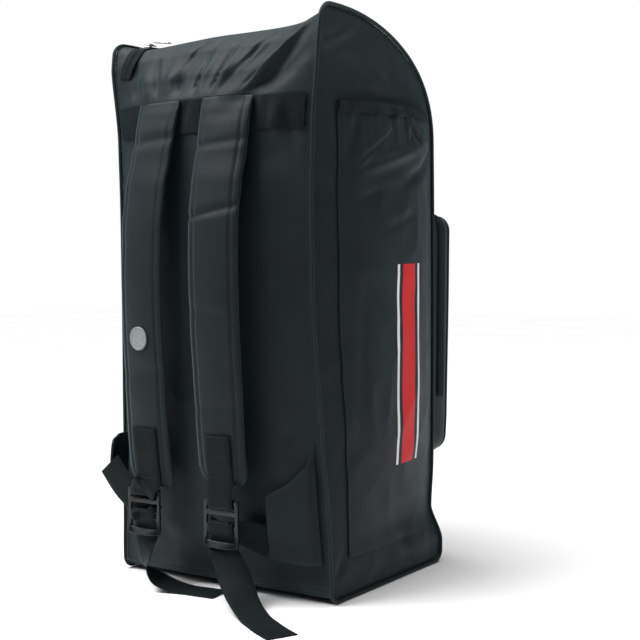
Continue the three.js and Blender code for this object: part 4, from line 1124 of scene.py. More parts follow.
def wrap_panel(part, first, last, grid, normals):
    picked = [i % len(grid) for i in range(first, last + 1)]
    rows = [list(grid[i]) for i in picked]
    gap = GAP / 2 + PANEL_SEAM
    for edge, beside in ((0, 1), (-1, -2)):
        rows[edge] = [p + (q - p).normalized() * gap for p, q in zip(rows[edge], rows[beside])]
    middle = len(rows[0]) // 2
    along = arc_lengths([row[middle] for row in rows])
    coordinates = [[(p.x, at, 0) for p in row] for row, at in zip(rows, along)]
    cloth = sheet_object(f"{part}_cloth", rows, WALL, [normals[i] for i in picked], NYLON, coordinates)
    finish_piece(cloth, "nylon", f"{part}_panel")


# Sides
def crown_above(y):
    along = clamp((y - TOP_LAND) / (FRONT - TOP_LAND))
    return mix(SHOULDER_HEIGHT, HEIGHT, (1 - along**CROWN_CURVE) ** (1 / CROWN_CURVE))


def side_point(z, across, lift=0.0):
    rear, front = rear_edge(z), front_edge(z)
    share = z / HEIGHT
    along = (across + 1) / 2
    y = mix(rear.y, front.y, along)
    fade = clamp((crown_above(y) - z) / DENT_FADE)
    swell = 1 - abs(across) ** SIDE_ROUND
    hem = smooth((1 - abs(across)) / SIDE_HEM_SHARE) * fade * smooth((z - BASE_RISE) / FOOT_FADE)
    dent = DEPTH * folds_at(SIDE_DENTS, across, share) * fade * fade * swell
    fold = DEPTH * folds_at(SIDE_FOLDS, across, share) * hem
    x = mix(rear.x, front.x, along) + WIDTH * lookup(SIDE_FILL, share, "out") * swell + dent + fold
    uneven = ruffle(Vector((0.3, y, z)), SEEDS["side"]) * hem
    return Vector((x + uneven + lift, y, z))


def mirrored(grid):
    return [[Vector((-p.x, p.y, p.z)) for p in row] for row in grid]


def edge_heights():
    walls = steps(CORNER_TOP, SHOULDER_HEIGHT, SIDE_STEPS)[1:]
    return corner_heights() + walls + crown_heights(SIDE_CROWN_STEPS)[1:]


def side_cloths():
    columns = steps(-1, 1, SIDE_COLUMNS)
    heights = [BASE_RISE] + edge_heights()
    grid = [[side_point(z, across) for across in columns] for z in heights]
    coordinates = [[(p.y, p.z, 0) for p in row] for row in grid]
    for side, points, outward in (("right", grid, 1), ("left", mirrored(grid), -1)):
        normals = [[Vector((outward, 0, 0))] * len(columns) for _ in points]
        cloth = sheet_object(f"side_cloth_{side}", points, WALL, normals, NYLON, coordinates)
        finish_piece(cloth, "nylon", f"side_panel_{side}")


def outline_nodes():
    reach = DEPTH / 2 - CORNER_RADIUS
    nodes = [Vector((WIDTH / 2, y, BASE_RISE)) for y in steps(-reach, reach, BASE_STEPS)]
    nodes += [front_edge(z) for z in edge_heights()]
    nodes += [rear_edge(z) for z in reversed(edge_heights())]
    return nodes


def bead_turns():
    return [2 * math.pi * k / BEAD_SIDES for k in range(BEAD_SIDES)]


def piping_rings(nodes, radius):
    rings = []
    for i, node in enumerate(nodes):
        along = (nodes[(i + 1) % len(nodes)] - nodes[i - 1]).normalized()
        side = (Vector((1, 0, 0)) - along * along.x).normalized()
        out = along.cross(side)
        centre = node + (side + out) * ((radius + BEAD_CLEARANCE) / math.sqrt(2))
        rings.append([centre + (side * math.cos(t) + out * math.sin(t)) * radius for t in bead_turns()])
    return rings


def pipings():
    rings = piping_rings(outline_nodes(), PIPING_RADIUS)
    lengths = arc_lengths([ring[0] for ring in rings])
    coordinates = [(at, k * BEAD_STEP, 0) for at in lengths for k in range(BEAD_SIDES)]
    for side, points in (("right", rings), ("left", mirrored(rings))):
        piece = rings_object(f"piping_{side}", points, True, PIPING, coordinates)
        finish_piece(piece, "piping", f"side_piping_{side}")


def rear_face(x, z):
    return rear_row(z)(clamp(x / rear_edge(z).x, -1, 1))


def plain_rear_y(x, z):
    """The back's depth position without its fine folds, as what hangs on it is placed."""
    edge = rear_edge(z)
    across = clamp(x / edge.x, -1, 1)
    share = z / HEIGHT
    swell = 1 - abs(across) ** REAR_ROUND
    return edge.y - DEPTH * swell * (lookup(REAR_FILL, share, "out") + folds_at(REAR_FOLDS, across, share))


def plain_front_y(x, z):
    edge = front_edge(z)
    across = clamp(x / edge.x, -1, 1)
    return edge.y + DEPTH * lookup(FRONT_FILL, z / HEIGHT, "out") * (1 - abs(across) ** FRONT_ROUND)


def yoke_band():
    """Ribbed webbing across the back under the seam."""
    grid, coordinates = [], []
    for z in steps(SEAM_HEIGHT - YOKE_DROP, SEAM_HEIGHT - YOKE_DROP - YOKE_HEIGHT, 8):
        half = rear_edge(z).x - YOKE_INSET
        row = []
        for x in steps(-half, half, 840):
            rib = YOKE_RIB_DEPTH * math.sin(2 * math.pi * x / YOKE_RIB_PITCH)
            y = rear_face(x, z).y - YOKE_LIFT - CLOTH - YOKE_RIB_DEPTH - rib
            row.append(Vector((x, y, z)))
        grid.append(row)
        coordinates.append([(z, p.x, 0) for p in row])
    band = sheet_object("yoke_band_cloth", grid, CLOTH, grid_normals(grid, -1), BAND, coordinates)
    finish_piece(band, "webbing", "yoke_band")


# Zips
def lifted(row_of, z, across, lift):
    point = row_of(z)(across)
    beside = row_of(z)(across + 0.02) - point
    below = row_of(z - 0.002)(across) - point
    normal = beside.cross(below).normalized()
    if normal.dot(point - Vector((0, 0, SHOULDER_HEIGHT))) < 0:
        normal.negate()
    return point + normal * lift, normal


def lid_zip_places():
    places = []
    start = ZIP_REAR_START["at"] * HEIGHT
    for z in steps(start, HEIGHT, 14):
        climbed = (z - start) / (HEIGHT - start)
        across = mix(ZIP_REAR_START["across"], -ZIP_CROWN_ACROSS, climbed)
        places.append(lifted(rear_row, z, across, ZIP_LIFT))
    ridge = len(places)
    for z in reversed(crown_heights(40)):
        places.append(lifted(front_row, z, -ZIP_CROWN_ACROSS, ZIP_LIFT))
    for row in ZIP_FRONT_TURN:
        places.append(lifted(front_row, row["at"] * HEIGHT, -row["across"], ZIP_LIFT))
    for row in reversed(ZIP_FRONT_TURN):
        places.append(lifted(front_row, row["at"] * HEIGHT, row["across"], ZIP_LIFT))
    for z in crown_heights(40)[:-5]:
        places.append(lifted(front_row, z, ZIP_CROWN_ACROSS, ZIP_LIFT))
    return places, ridge


def teeth_object(name, path, wides, normals):
    """The zip's coil: two rows of short turned loops that meet along its middle."""
    points, faces = [], []
    lengths = arc_lengths(path)
    count = int(lengths[-1] / TOOTH_PITCH)
    k = 0
    for n in range(count):
        at = (n + 0.5) * TOOTH_PITCH
        while k < len(path) - 2 and lengths[k + 1] < at:
            k += 1
        share = (at - lengths[k]) / max(lengths[k + 1] - lengths[k], 1e-9)
        middle = path[k].lerp(path[k + 1], share) + normals[k] * COIL_LIFT
        along = (path[k + 1] - path[k]).normalized()
        side = -1 if n % 2 else 1
        wide = wides[k].normalized() * side
        centre = middle + wide * TOOTH_OUT
        half = (wide * TOOTH_HALF, along * TOOTH_RADIUS, normals[k] * TOOTH_RADIUS)
        base = len(points)
        points += [centre - half[0], centre - half[1], centre + half[2],
                   centre + half[1], centre - half[2], centre + half[0]]
        faces += [(base + a, base + b, base + c) for a, b, c in SPINDLE_FACES]
    points = [settled(p) for p in points]
    return make_object(name, points, faces, None, COIL, math.radians(80))


def lid_zip():
    places, ridge = lid_zip_places()
    path = spline([p for p, _ in places], 3)
    normals = [n.normalized() for n in spline([n for _, n in places], 3)]
    wides = []
    for i, normal in enumerate(normals):
        along = path[min(i + 1, len(path) - 1)] - path[max(i - 1, 0)]
        wides.append(normal.cross(along).normalized())
    tape = ribbon_object("lid_zip_tape", path, wides, ZIP_WIDTH, ZIP_THICK, TAPE)
    finish_piece(tape, "zip_tape", "lid_zip")
    coil = teeth_object("lid_zip_coil", path, wides, normals)
    finish_piece(coil, "zip_tape")
    rows = []
    for off in (-0.40, 0.40):
        line = [p + w * (off * ZIP_WIDTH) + n * (ZIP_THICK / 2) for p, w, n in zip(path, wides, normals)]
        rows.append(list(zip(line, normals)))
    sew("lid_zip_stitches", rows, "zip", "zip_tape")
    zip_pull(places[ridge][0], places[ridge][1], places[ridge + 2][0] - places[ridge][0])


def plate_object(name, cells, turn, thickness, bevel, material):
    """A plate made of the given cells, (x0, y0, x1, y1), with rounded edges."""
    points, faces, index = [], [], {}
    corners = {}

    def corner(x, y, z):
        key = (round(x, 6), round(y, 6), round(z, 6))
        if key not in index:
            index[key] = len(points)
            points.append(Vector((x, y, z)))
        return index[key]

    half = thickness / 2
    for x0, y0, x1, y1 in cells:
        loop = [(x0, y0), (x1, y0), (x1, y1), (x0, y1)]
        faces.append(tuple(corner(x, y, half) for x, y in loop))
        faces.append(tuple(corner(x, y, -half) for x, y in reversed(loop)))
        for a, b in zip(loop, loop[1:] + loop[:1]):
            key = tuple(sorted((tuple(round(v, 6) for v in a), tuple(round(v, 6) for v in b))))
            corners.setdefault(key, []).append((a, b))
    for sides in corners.values():
        if len(sides) == 1:
            a, b = sides[0]
            low = (corner(*a, -half), corner(*b, -half))
            faces.append(low + (corner(*b, half), corner(*a, half)))
    obj = make_object(name, points, oriented(points, faces), None, material)
    rounding = obj.modifiers.new("rounding", "BEVEL")
    rounding.width = bevel
    rounding.segments = 3
    rounding.limit_method = "ANGLE"
    apply_modifiers(obj)
    obj.data.transform(turn)
    refresh_coordinates(obj)
    return obj


def apply_modifiers(obj):
    graph = bpy.context.evaluated_depsgraph_get()
    mesh = bpy.data.meshes.new_from_object(obj.evaluated_get(graph))
    old = obj.data
    obj.modifiers.clear()
    obj.data = mesh
    bpy.data.meshes.remove(old)
    obj.data.name = obj.name


def refresh_coordinates(obj):
    mesh = obj.data
    place = mesh.attributes.get("cloth") or mesh.attributes.new("cloth", "FLOAT_VECTOR", "POINT")
    flat = []
    for vertex in mesh.vertices:
        flat += [vertex.co.x, vertex.co.z, vertex.co.y]
    place.data.foreach_set("vector", flat)
    mesh.shade_smooth()
    mesh.set_sharp_from_angle(angle=math.radians(40))


def turned(at, along, normal):
    x = along.normalized()
    z = (normal - x * normal.dot(x)).normalized()
    y = z.cross(x)
    turn = Matrix((x, y, z)).transposed().to_4x4()
    turn.translation = settled(at)
    return turn


def joined(name, pieces):
    """One object of several, the first of which it keeps."""
    with bpy.context.temp_override(active_object=pieces[0], selected_editable_objects=pieces):
        bpy.ops.object.join()
    pieces[0].name = name
    return pieces[0]


def zip_pull(at, normal, along):
    """Slider on the zip, and its puller lying to the right on the lid."""
    centre = at + normal * (ZIP_THICK / 2 + GAP + SLIDER_RISE)
    body = turned(centre, along, normal)
    plates = []
    for name, row in SLIDER_PLATES.items():
        x, y = row["half"]
        turn = body @ Matrix.Translation((0, 0, row["up"]))
        plates.append(plate_object(name, [(-x, -y, x, y)], turn, row["thick"], row["bevel"], METAL))
    slider = joined("slider", plates)
    finish_piece(slider, "zip_metal", "zip_slider")
    reach = SLIDER_HALF + 2 * GAP + PULLER_CUTS[-1]
    flat = turned(centre + Vector((reach, 0, 0)), Vector((1, 0, PULLER_DROOP)), normal)
    cells = []
    for i, (x0, x1) in enumerate(zip(PULLER_CUTS, PULLER_CUTS[1:])):
        for j, (y0, y1) in enumerate(zip(PULLER_ROWS, PULLER_ROWS[1:])):
            if (i, j) not in PULLER_HOLES:
                cells.append((x0, y0, x1, y1))
    puller = plate_object("puller", cells, flat, PULLER_THICK, PULLER_BEVEL, METAL)
    finish_piece(puller, "zip_metal", "zip_puller")


# Side pocket
def pocket_point(z, across, lift):
    up = (z - POCKET_FOOT_HEIGHT) / (POCKET_MOUTH_HEIGHT - POCKET_FOOT_HEIGHT)
    middle = 2 * (across - POCKET_REAR) / (POCKET_FRONT - POCKET_REAR) - 1
    open_share = mix(POCKET_FOOT_SLACK * clamp(up * 4), 1, max(up, 0.0) ** 3)
    slack = POCKET_SLACK * (1 - abs(middle) ** POCKET_ROUND) * open_share
    hem = smooth((1 - abs(middle)) / SIDE_HEM_SHARE)
    pleat = DEPTH * folds_at(POCKET_PLEATS, across, z / HEIGHT) * hem
    waves = math.sin(across * 23 + 1) + 0.7 * math.sin(across * 61)
    gather = GATHER_DEPTH * waves * smooth((up - GATHER_FROM) / (1 - GATHER_FROM)) * hem
    pushed = max(-slack, pleat + gather) if slack > 0 else 0.0
    return side_point(z, across, lift + slack + pushed)


def side_pocket():
    lift = CLOTH + POCKET_CLEARANCE
    columns = steps(POCKET_REAR, POCKET_FRONT, 110)
    heights = steps(POCKET_FOOT_HEIGHT, POCKET_MOUTH_HEIGHT, 150)
    grid = [[pocket_point(z, across, lift) for across in columns] for z in heights]
    coordinates = [[(p.y, p.z, 0) for p in row] for row in grid]
    normals = [[Vector((1, 0, 0))] * len(columns) for _ in grid]
    cloth = sheet_object("side_pocket_cloth", grid, CLOTH, normals, PRINTED, coordinates)
    finish_piece(cloth, "nylon", "side_pocket")
    out = Vector((1, 0, 0))
    rows = [
        [(row[2], out) for row in grid],
        [(row[-3], out) for row in grid],
        [(p, out) for p in grid[1]],
        [(p, out) for p in grid[2]],
    ]
    sew("side_pocket_stitches", rows, "pocket", "nylon")


def pocket_elastic():
    """Gathered elastic binding over the pocket's mouth."""
    lift = CLOTH + POCKET_CLEARANCE + GAP + ELASTIC_THICK
    columns = steps(POCKET_REAR, POCKET_FRONT, 260)
    grid, coordinates = [], []
    for share in steps(0, 1, 8):
        z = mix(POCKET_MOUTH_HEIGHT - ELASTIC_HEIGHT, POCKET_MOUTH_HEIGHT, share)
        puff = ELASTIC_PUFF * math.sin(math.pi * share)
        row = []
        for across in columns:
            ridge = ELASTIC_RIDGE * math.sin(across * 130) * math.sin(math.pi * share)
            row.append(pocket_point(z, across, lift + puff + ridge))
        grid.append(row)
        coordinates.append([(p.z, p.y, 0) for p in row])
    normals = [[Vector((1, 0, 0))] * len(columns) for _ in grid]
    band = sheet_object("pocket_elastic", grid, ELASTIC_THICK, normals, ELASTIC, coordinates)
    finish_piece(band, "elastic", "side_pocket_elastic")


# Front pocket
def pocket_outline(inset):
    turns, straights = POCKET_TURNS, POCKET_STRAIGHTS
    half_width = FRONT_POCKET_WIDTH / 2 - inset
    middle = (FRONT_POCKET_HEAD + FRONT_POCKET_FOOT) / 2
    half_height = (FRONT_POCKET_HEAD - FRONT_POCKET_FOOT) / 2 - inset
    radius = max(FRONT_POCKET_CORNER - inset, 0.002)
    half_width = max(half_width, radius + 0.001)
    half_height = max(half_height, radius + 0.001)
    places = []
    for quarter, (sx, sz) in enumerate([(1, 1), (-1, 1), (-1, -1), (1, -1)]):
        for i in range(turns + 1):
            turn = math.pi / 2 * (quarter + i / turns)
            out = Vector((math.cos(turn), 0, math.sin(turn)))
            centre = Vector((sx * (half_width - radius), 0, middle + sz * (half_height - radius)))
            places.append((centre + out * radius, out))
    filled = []
    for i, (place, out) in enumerate(places):
        filled.append((place, out))
        if i % (turns + 1) == turns:
            following = places[(i + 1) % len(places)][0]
            filled += [(place.lerp(following, k / straights), out) for k in range(1, straights)]
    return filled


def pocket_ring(inset, share, further, wrinkle=0.0):
    ring = []
    for place, _ in pocket_outline(inset):
        up = clamp((place.z - FRONT_POCKET_FOOT) / (FRONT_POCKET_HEAD - FRONT_POCKET_FOOT))
        depth = mix(FRONT_POCKET_FOOT_DEPTH, FRONT_POCKET_DEPTH, up)
        proud = share * depth + further + FRONT_POCKET_LIFT
        proud += wrinkle * ruffle(place, SEEDS["front_pocket"]) * 1.4
        ring.append(Vector((place.x, plain_front_y(place.x, place.z) + proud, place.z)))
    return ring


def ring_further(row):
    return row["swell"] * FRONT_POCKET_DEPTH - row["setback"] * FRONT_POCKET_EDGE


def front_pocket():
    outer, inner = [], []
    for row in POCKET_RINGS:
        wrinkle = 1.0 if row["share"] > 0.9 and row["inset"] > 0.03 else 0.0
        inset = row["inset"] * FRONT_POCKET_WIDTH
        outer.append(pocket_ring(inset, row["share"], ring_further(row), wrinkle))
        wall = CLOTH if row["share"] > 0.9 else 0.0
        inner.append(pocket_ring(inset + CLOTH, row["share"], ring_further(row) - wall, wrinkle))
    rings = outer + inner[::-1]
    coordinates = [(p.x, p.z + p.y, 0) for ring in rings for p in ring]
    tray = rings_object("front_pocket_cloth", rings, False, NYLON, coordinates, math.radians(70))
    finish_piece(tray, "nylon", "front_pocket")
    front_pocket_trim()


def front_pocket_trim():
    bead_out = (FRONT_PIPING_RADIUS + GAP + BEAD_SEAT) / math.sqrt(2)
    inset = FRONT_POCKET_EDGE / 2 - bead_out
    nodes = pocket_ring(inset, 1, -inset)
    outs = [out for _, out in pocket_outline(inset)]
    rings, coordinates = [], []
    lengths = arc_lengths(nodes)
    for node, out, at in zip(nodes, outs, lengths):
        turned_out = [out * math.cos(t) + Vector((0, math.sin(t), 0)) for t in bead_turns()]
        rings.append([node + way * FRONT_PIPING_RADIUS for way in turned_out])
        coordinates += [(at, k * BEAD_STEP, 0) for k in range(BEAD_SIDES)]
    bead = rings_object("front_pocket_bead", rings, True, PIPING, coordinates)
    finish_piece(bead, "piping", "front_pocket_piping")
    inset = -(0.006 * FRONT_POCKET_WIDTH + 0.001 + ZIP_THICK / 2)
    nodes = pocket_ring(inset, 0.5, 0)
    outs = [out for _, out in pocket_outline(inset)]
    quarter = POCKET_TURNS + POCKET_STRAIGHTS
    start = 3 * quarter + POCKET_TURNS + ZIP_END_STEPS
    count = 2 * quarter + POCKET_STRAIGHTS - 2 * ZIP_END_STEPS
    picked = [(start + i) % len(nodes) for i in range(count)]
    path = [nodes[i] for i in picked]
    normals = [outs[i] for i in picked]
    wides = [Vector((0, 1, 0))] * len(path)
    tape = ribbon_object("front_zip_tape", path, wides, FRONT_ZIP_WIDTH, ZIP_THICK, TAPE)
    finish_piece(tape, "zip_tape", "front_pocket_zip")
    coil = teeth_object("front_zip_coil", path, wides, normals)
    finish_piece(coil, "zip_tape")


# Straps
STRAP_TABLE = STRAP_ROWS[::-1]


def strap_at(side, z, column=None):
    foot = STRAP_FOOT[side]
    return lookup(STRAP_TABLE, (z - foot) / (STRAP_TOP - foot), column or side)


def strap_y(side, x, z, over):
    middle = WIDTH * strap_at(side, z)
    follow = strap_at(side, z, "follow")
    carried = mix(plain_rear_y(middle, z), plain_rear_y(x, z), follow)
    off = STRAP_STANDOFF * strap_at(side, z, "off") + STRAP_SEATING[side]
    return carried - off - over * STRAP_THICK * strap_at(side, z, "thick")


def strap_over(side, across, at):
    """Outer face of the padding as a share of the thickness: crowned between bindings."""
    reach = abs(across)
    inner_edge = 1 - STRAP_BINDING
    pad = mix(1.0, PAD_EDGE, (reach / inner_edge) ** 2)
    binding = mix(BINDING_INNER, BINDING_OUTER, clamp((reach - inner_edge) / STRAP_BINDING) ** 2)
    seam = math.exp(-(((reach - inner_edge) / SEAM_WIDE) ** 2))
    over = pad if reach < inner_edge else binding
    over -= SEAM_SUNK * seam
    for crease in STRAP_CREASES[side]:
        off = (at - crease["at"] - crease["slope"] * across * 0.06) / crease["tall"]
        over -= crease["depth"] * math.exp(-off * off) * (1 - 0.3 * reach)
    return over


def strap_surface(side, across, z):
    """A place on the padding's outer face."""
    at = (z - STRAP_FOOT[side]) / (STRAP_TOP - STRAP_FOOT[side])
    x = WIDTH * strap_at(side, z) + across * strap_at(side, z, "wide") * STRAP_WIDTH / 2
    y = strap_y(side, x, z, strap_over(side, across, at))
    wave = noise.noise(Vector((x / PAD_WAVE_LONG, z / PAD_WAVE_TALL, SEEDS[side])))
    return Vector((x, y - PAD_WAVE_OUT * wave, z))


def strap_heights(side):
    first = STRAP_FOOT[side]
    rounded = (STRAP_TOP - first) * 0.05
    foot = [first + rounded * (1 - math.cos(math.pi / 2 * i / 12)) for i in range(12)]
    return foot + steps(first + rounded, STRAP_TOP, 150)


def strap_half(side, z):
    """Half of the strap's width, rounded at its foot."""
    low = clamp((STRAP_FOOT[side] + PAD_ROUND - z) / PAD_ROUND)
    return STRAP_WIDTH / 2 * mix(1.0, 0.6, 1 - math.sqrt(1 - low * low))


def strap(side):
    outward = steps(-1, 1, 40)
    inward = steps(1, -1, 12)
    rings, coordinates = [], []
    for z in strap_heights(side):
        narrow = strap_half(side, z) / (STRAP_WIDTH / 2 * strap_at(side, z, "wide"))
        ring = [strap_surface(side, across * narrow, z) for across in outward]
        middle = WIDTH * strap_at(side, z)
        for across in inward:
            reach = abs(across)
            x = middle + across * strap_half(side, z)
            ring.append(Vector((x, strap_y(side, x, z, 0.3 * smooth((reach - 0.8) / 0.2)), z)))
        rings.append(ring)
        coordinates += [(p.x, p.z, 0) for p in ring]
    pad = rings_object(f"strap_pad_{side}", rings, False, STRAP_CLOTH, coordinates, math.radians(75))
    finish_piece(pad, "strap_cloth", f"shoulder_strap_{side}")
    strap_stitches(side)


def strap_stitches(side):
    rows = []
    out = Vector((0, -1, 0))
    heights = steps(STRAP_FOOT[side] + 0.024, STRAP_TOP - 0.004, 150)
    for across in (-1 + STRAP_BINDING * 0.55, 1 - STRAP_BINDING * 0.55):
        rows.append([(strap_surface(side, across, z), out) for z in heights])
    sew(f"strap_stitches_{side}", rows, "strap", "strap_cloth")


# Webbing and buckles
def buckle_middle(side):
    foot = STRAP_FOOT[side]
    strap_x = WIDTH * strap_at(side, foot)
    y = strap_y(side, strap_x, foot + WEB_WIDTH / 2, 1) + BUCKLE_THICK * 0.6
    return Vector((WIDTH * BUCKLE_ACROSS[side], y, BUCKLE_FOOT + BUCKLE_HEIGHT / 2))


def buckle(side):
    """Ladder-lock: a frame with three slots, its foot bar curled outwards as a lip."""
    middle = buckle_middle(side)
    half = BUCKLE_WIDTH / 2
    rail = BUCKLE_RAIL
    xs = [-half, -half + rail] + steps(-half + rail, half - rail, 4)[1:-1] + [half - rail, half]
    cells = []
    for row, (low, high) in enumerate(zip(BUCKLE_BARS, BUCKLE_BARS[1:])):
        for i in range(len(xs) - 1):
            hole = row in BUCKLE_SLOT_ROWS and 0 < i < len(xs) - 2
            if not hole:
                cells.append((xs[i], (low - 0.5) * BUCKLE_HEIGHT, xs[i + 1], (high - 0.5) * BUCKLE_HEIGHT))
    turn = Matrix(((1, 0, 0), (0, 0, -1), (0, 1, 0))).to_4x4()
    turn.translation = middle
    frame_piece = plate_object(f"buckle_{side}", cells, turn, BUCKLE_THICK, BUCKLE_BEVEL, PLASTIC)
    for vertex in frame_piece.data.vertices:
        up = (vertex.co.z - BUCKLE_FOOT) / BUCKLE_HEIGHT
        lip = clamp((LIP_TOP - up) / LIP_TOP)
        arch = 1 - (abs(vertex.co.x - middle.x) / half) ** 2
        vertex.co.y -= LIP_OUT * lip * lip * mix(LIP_ENDS, 1, arch)
        vertex.co.z -= LIP_SAG * lip * arch
        if MIDDLE_BAR[0] < up < MIDDLE_BAR[1] and abs(vertex.co.x - middle.x) < half - rail:
            vertex.co.y -= MIDDLE_BAR_OUT
    finish_piece(frame_piece, "buckle_plastic", f"ladder_buckle_{side}")


def web_clear():
    return BUCKLE_THICK / 2 + WEB_THICK / 2 + BUCKLE_CLEARANCE


def bar_height(edge):
    return BUCKLE_FOOT + BUCKLE_HEIGHT * BUCKLE_BARS[edge]


def smooth_ribbon(name, sections, count, floor=None):
    path = spline([at for at, _ in sections], count)
    wides = spline([wide for _, wide in sections], count)
    if floor is not None:
        for p in path:
            p.z = max(p.z, floor + WEB_THICK / 2)
    return ribbon_object(name, path, wides, WEB_WIDTH, WEB_THICK, WEBBING, floor)


def strap_web(side):
    """Webbing sewn on the strap's foot and taken round the buckle's top bar."""
    middle = buckle_middle(side)
    straight = Vector((1, 0, 0))
    sections = []
    for share in (1, 0.66, 0.33, 0.1):
        z = mix(STRAP_FOOT[side], PATCH_TOP, share)
        x = WIDTH * strap_at(side, z)
        sections.append((Vector((x, strap_y(side, x, z, 1) - WEB_THICK / 2 - WEB_LIFT, z)), straight))
    low = bar_height(6)
    bend = WEB_THICK * 0.8
    clear = web_clear()
    foot = STRAP_FOOT[side]
    strap_x = WIDTH * strap_at(side, foot)
    rows = [
        (mix(strap_x, middle.x, 0.4), -clear - WEB_THICK / 2, mix(BUCKLE_TOP, foot, 0.5)),
        (middle.x, -clear, (low + BUCKLE_TOP) / 2),
        (middle.x, -clear * 0.8, low - bend),
        (middle.x, 0.0, low - WEB_THICK / 2 - bend - BUCKLE_CLEARANCE - GAP / 2),
        (middle.x, clear * 0.8, low - bend),
        (middle.x, clear, (low + BUCKLE_TOP) / 2),
        (middle.x, clear, BUCKLE_TOP),
    ]
    sections += [(Vector((x, middle.y + y, z)), straight) for x, y, z in rows]
    web = smooth_ribbon(f"strap_webbing_{side}", sections, 6)
    finish_piece(web, "webbing", f"strap_web_{side}")
    patch_stitches(side)


def patch_stitches(side):
    """Box of stitches with a cross in it, on the webbing's patch."""
    half = WEB_WIDTH / 2 - PATCH_INSET
    low, middle, high = PATCH_SEAMS
    corners = [(-half, low), (half, low), (half, high), (-half, high)]
    lines = list(zip(corners, corners[1:] + corners[:1]))
    lines += [(corners[0], corners[2]), (corners[1], corners[3])]
    lines += [((-half, middle), (half, middle))]
    out = Vector((0, -1, 0))
    rows = []
    for (ax, ashare), (bx, bshare) in lines:
        row = []
        for t in steps(0, 1, 30):
            z = mix(STRAP_FOOT[side], PATCH_TOP, mix(ashare, bshare, t))
            x = WIDTH * strap_at(side, z)
            y = strap_y(side, x, z, 1) - WEB_THICK - WEB_LIFT
            row.append((Vector((x + mix(ax, bx, t), y, z)), out))
        rows.append(row)
    sew(f"patch_stitches_{side}", rows, "patch", "webbing")


def wing_place(side, t, up):
    """A place on a wing: t runs from the seam to the free edge, up from foot to head."""
    rows = [dict(row, at=i / (len(WINGS[side]) - 1)) for i, row in enumerate(WINGS[side])]
    z = HEIGHT * mix(lookup(rows, t, "foot"), lookup(rows, t, "head"), up)
    x = lookup(rows, t, "across") * rear_edge(z).x
    puff = math.sin(math.pi * up) * WING_THICK
    fold = WING_FOLD * math.sin(up * 9 + t * 4) * math.sin(math.pi * t)
    return Vector((x, plain_rear_y(x, z) - lookup(rows, t, "off") * DEPTH - puff - fold, z))


def wing(side):
    shares = steps(0, 1, WING_CELLS)
    grid = [[wing_place(side, t, up) for up in shares] for t in shares]
    normals = grid_normals(grid, -1 if side == "left" else 1)
    coordinates = [[(p.x, p.z, 0) for p in row] for row in grid]
    cloth = sheet_object(f"wing_{side}", grid, WING_THICK, normals, NYLON, coordinates)
    finish_piece(cloth, "nylon", f"anchor_wing_{side}")
    rows = []
    lines = [[(t, up) for up in steps(0.04, 0.96, 24)] for t in WING_RIBS]
    lines += [[(t, up) for t in steps(0.1, WING_RIBS[-1], 24)] for up in WING_HEMS]
    for line in lines:
        outs = [normals[int(t * WING_CELLS)][int(up * WING_CELLS)] for t, up in line]
        rows.append([(wing_place(side, t, up), out) for (t, up), out in zip(line, outs)])
    sew(f"wing_stitches_{side}", rows, "wing", "nylon")


def plain_wing_point(side, up):
    """The free edge of a wing, where the webbing is sewn on."""
    row = WINGS[side][-1]
    z = HEIGHT * mix(row["foot"], row["head"], up)
    x = row["across"] * rear_edge(z).x
    puff = math.sin(math.pi * up) * WING_THICK
    return Vector((x, plain_rear_y(x, z) - row["off"] * DEPTH - puff, z))


def adjuster_web(side):
    middle = buckle_middle(side)
    clear = web_clear()
    straight = Vector((1, 0, 0))
    free = plain_wing_point(side, 0.5)
    sections = []
    for row in LEAD_ROWS[side]:
        x = mix(middle.x, free.x, row["way"])
        y = mix(middle.y + clear * 2, free.y + WEB_OFF_WING[side], row["way"])
        sections.append((Vector((x, y, middle.z + BUCKLE_HEIGHT * row["rise"])), Vector(row["wide"])))
    bars = {"low": bar_height(2), "high": bar_height(3)}
    bars["middle"] = (bars["low"] + bars["high"]) / 2
    bars["foot"] = BUCKLE_FOOT + BUCKLE_HEIGHT * BUCKLE_BARS[1] / 2
    if side == "right":
        sections.append((Vector((middle.x, middle.y + clear * 1.4, bars["middle"])), straight))
    for row in WAVE_ROWS:
        z = bars[row["bar"]] + row["rise"] * BUCKLE_HEIGHT
        sections.append((Vector((middle.x, middle.y + row["out"] * clear, z)), straight))
    reach = TAIL_REACH[side]
    for row in TAIL_ROWS[side]:
        z = WEB_THICK / 2 + FLOOR_CLEARANCE + (BUCKLE_FOOT - WEB_THICK) * row["up"]
        at = Vector((middle.x + reach * row["along"], middle.y + reach * row["across"], z))
        sections.append((at, Vector(row["wide"])))
    web = smooth_ribbon(f"adjuster_webbing_{side}", sections, 6, FLOOR_CLEARANCE)
    finish_piece(web, "webbing", f"adjuster_web_{side}")


def badge():
    """Plain round patch with a raised rim on the left strap."""
    x = WIDTH * strap_at("left", BADGE_HEIGHT)
    run = 2 * BADGE_RADIUS
    near, far = (strap_y("left", x + off, BADGE_HEIGHT, 1) for off in (BADGE_RADIUS, -BADGE_RADIUS))
    slope = near - far
    rings = []
    for radius, out in BADGE_PROFILE:
        ring = []
        for k in range(BADGE_SIDES):
            t = 2 * math.pi * k / BADGE_SIDES
            r = max(radius, BADGE_HOLE) * BADGE_RADIUS
            ring.append(Vector((r * math.cos(t), -out, r * math.sin(t))))
        rings.append(ring)
    y = strap_y("left", x, BADGE_HEIGHT, 1) - WEB_LIFT
    turn = Matrix.Translation((x, y, BADGE_HEIGHT)) @ Matrix.Rotation(math.atan(slope / run), 4, "Z")
    rings = [[turn @ p for p in ring] for ring in rings]
    disc = rings_object("badge", rings, False, BADGE, None, math.radians(60))
    finish_piece(disc, "grey_patch", "strap_badge")


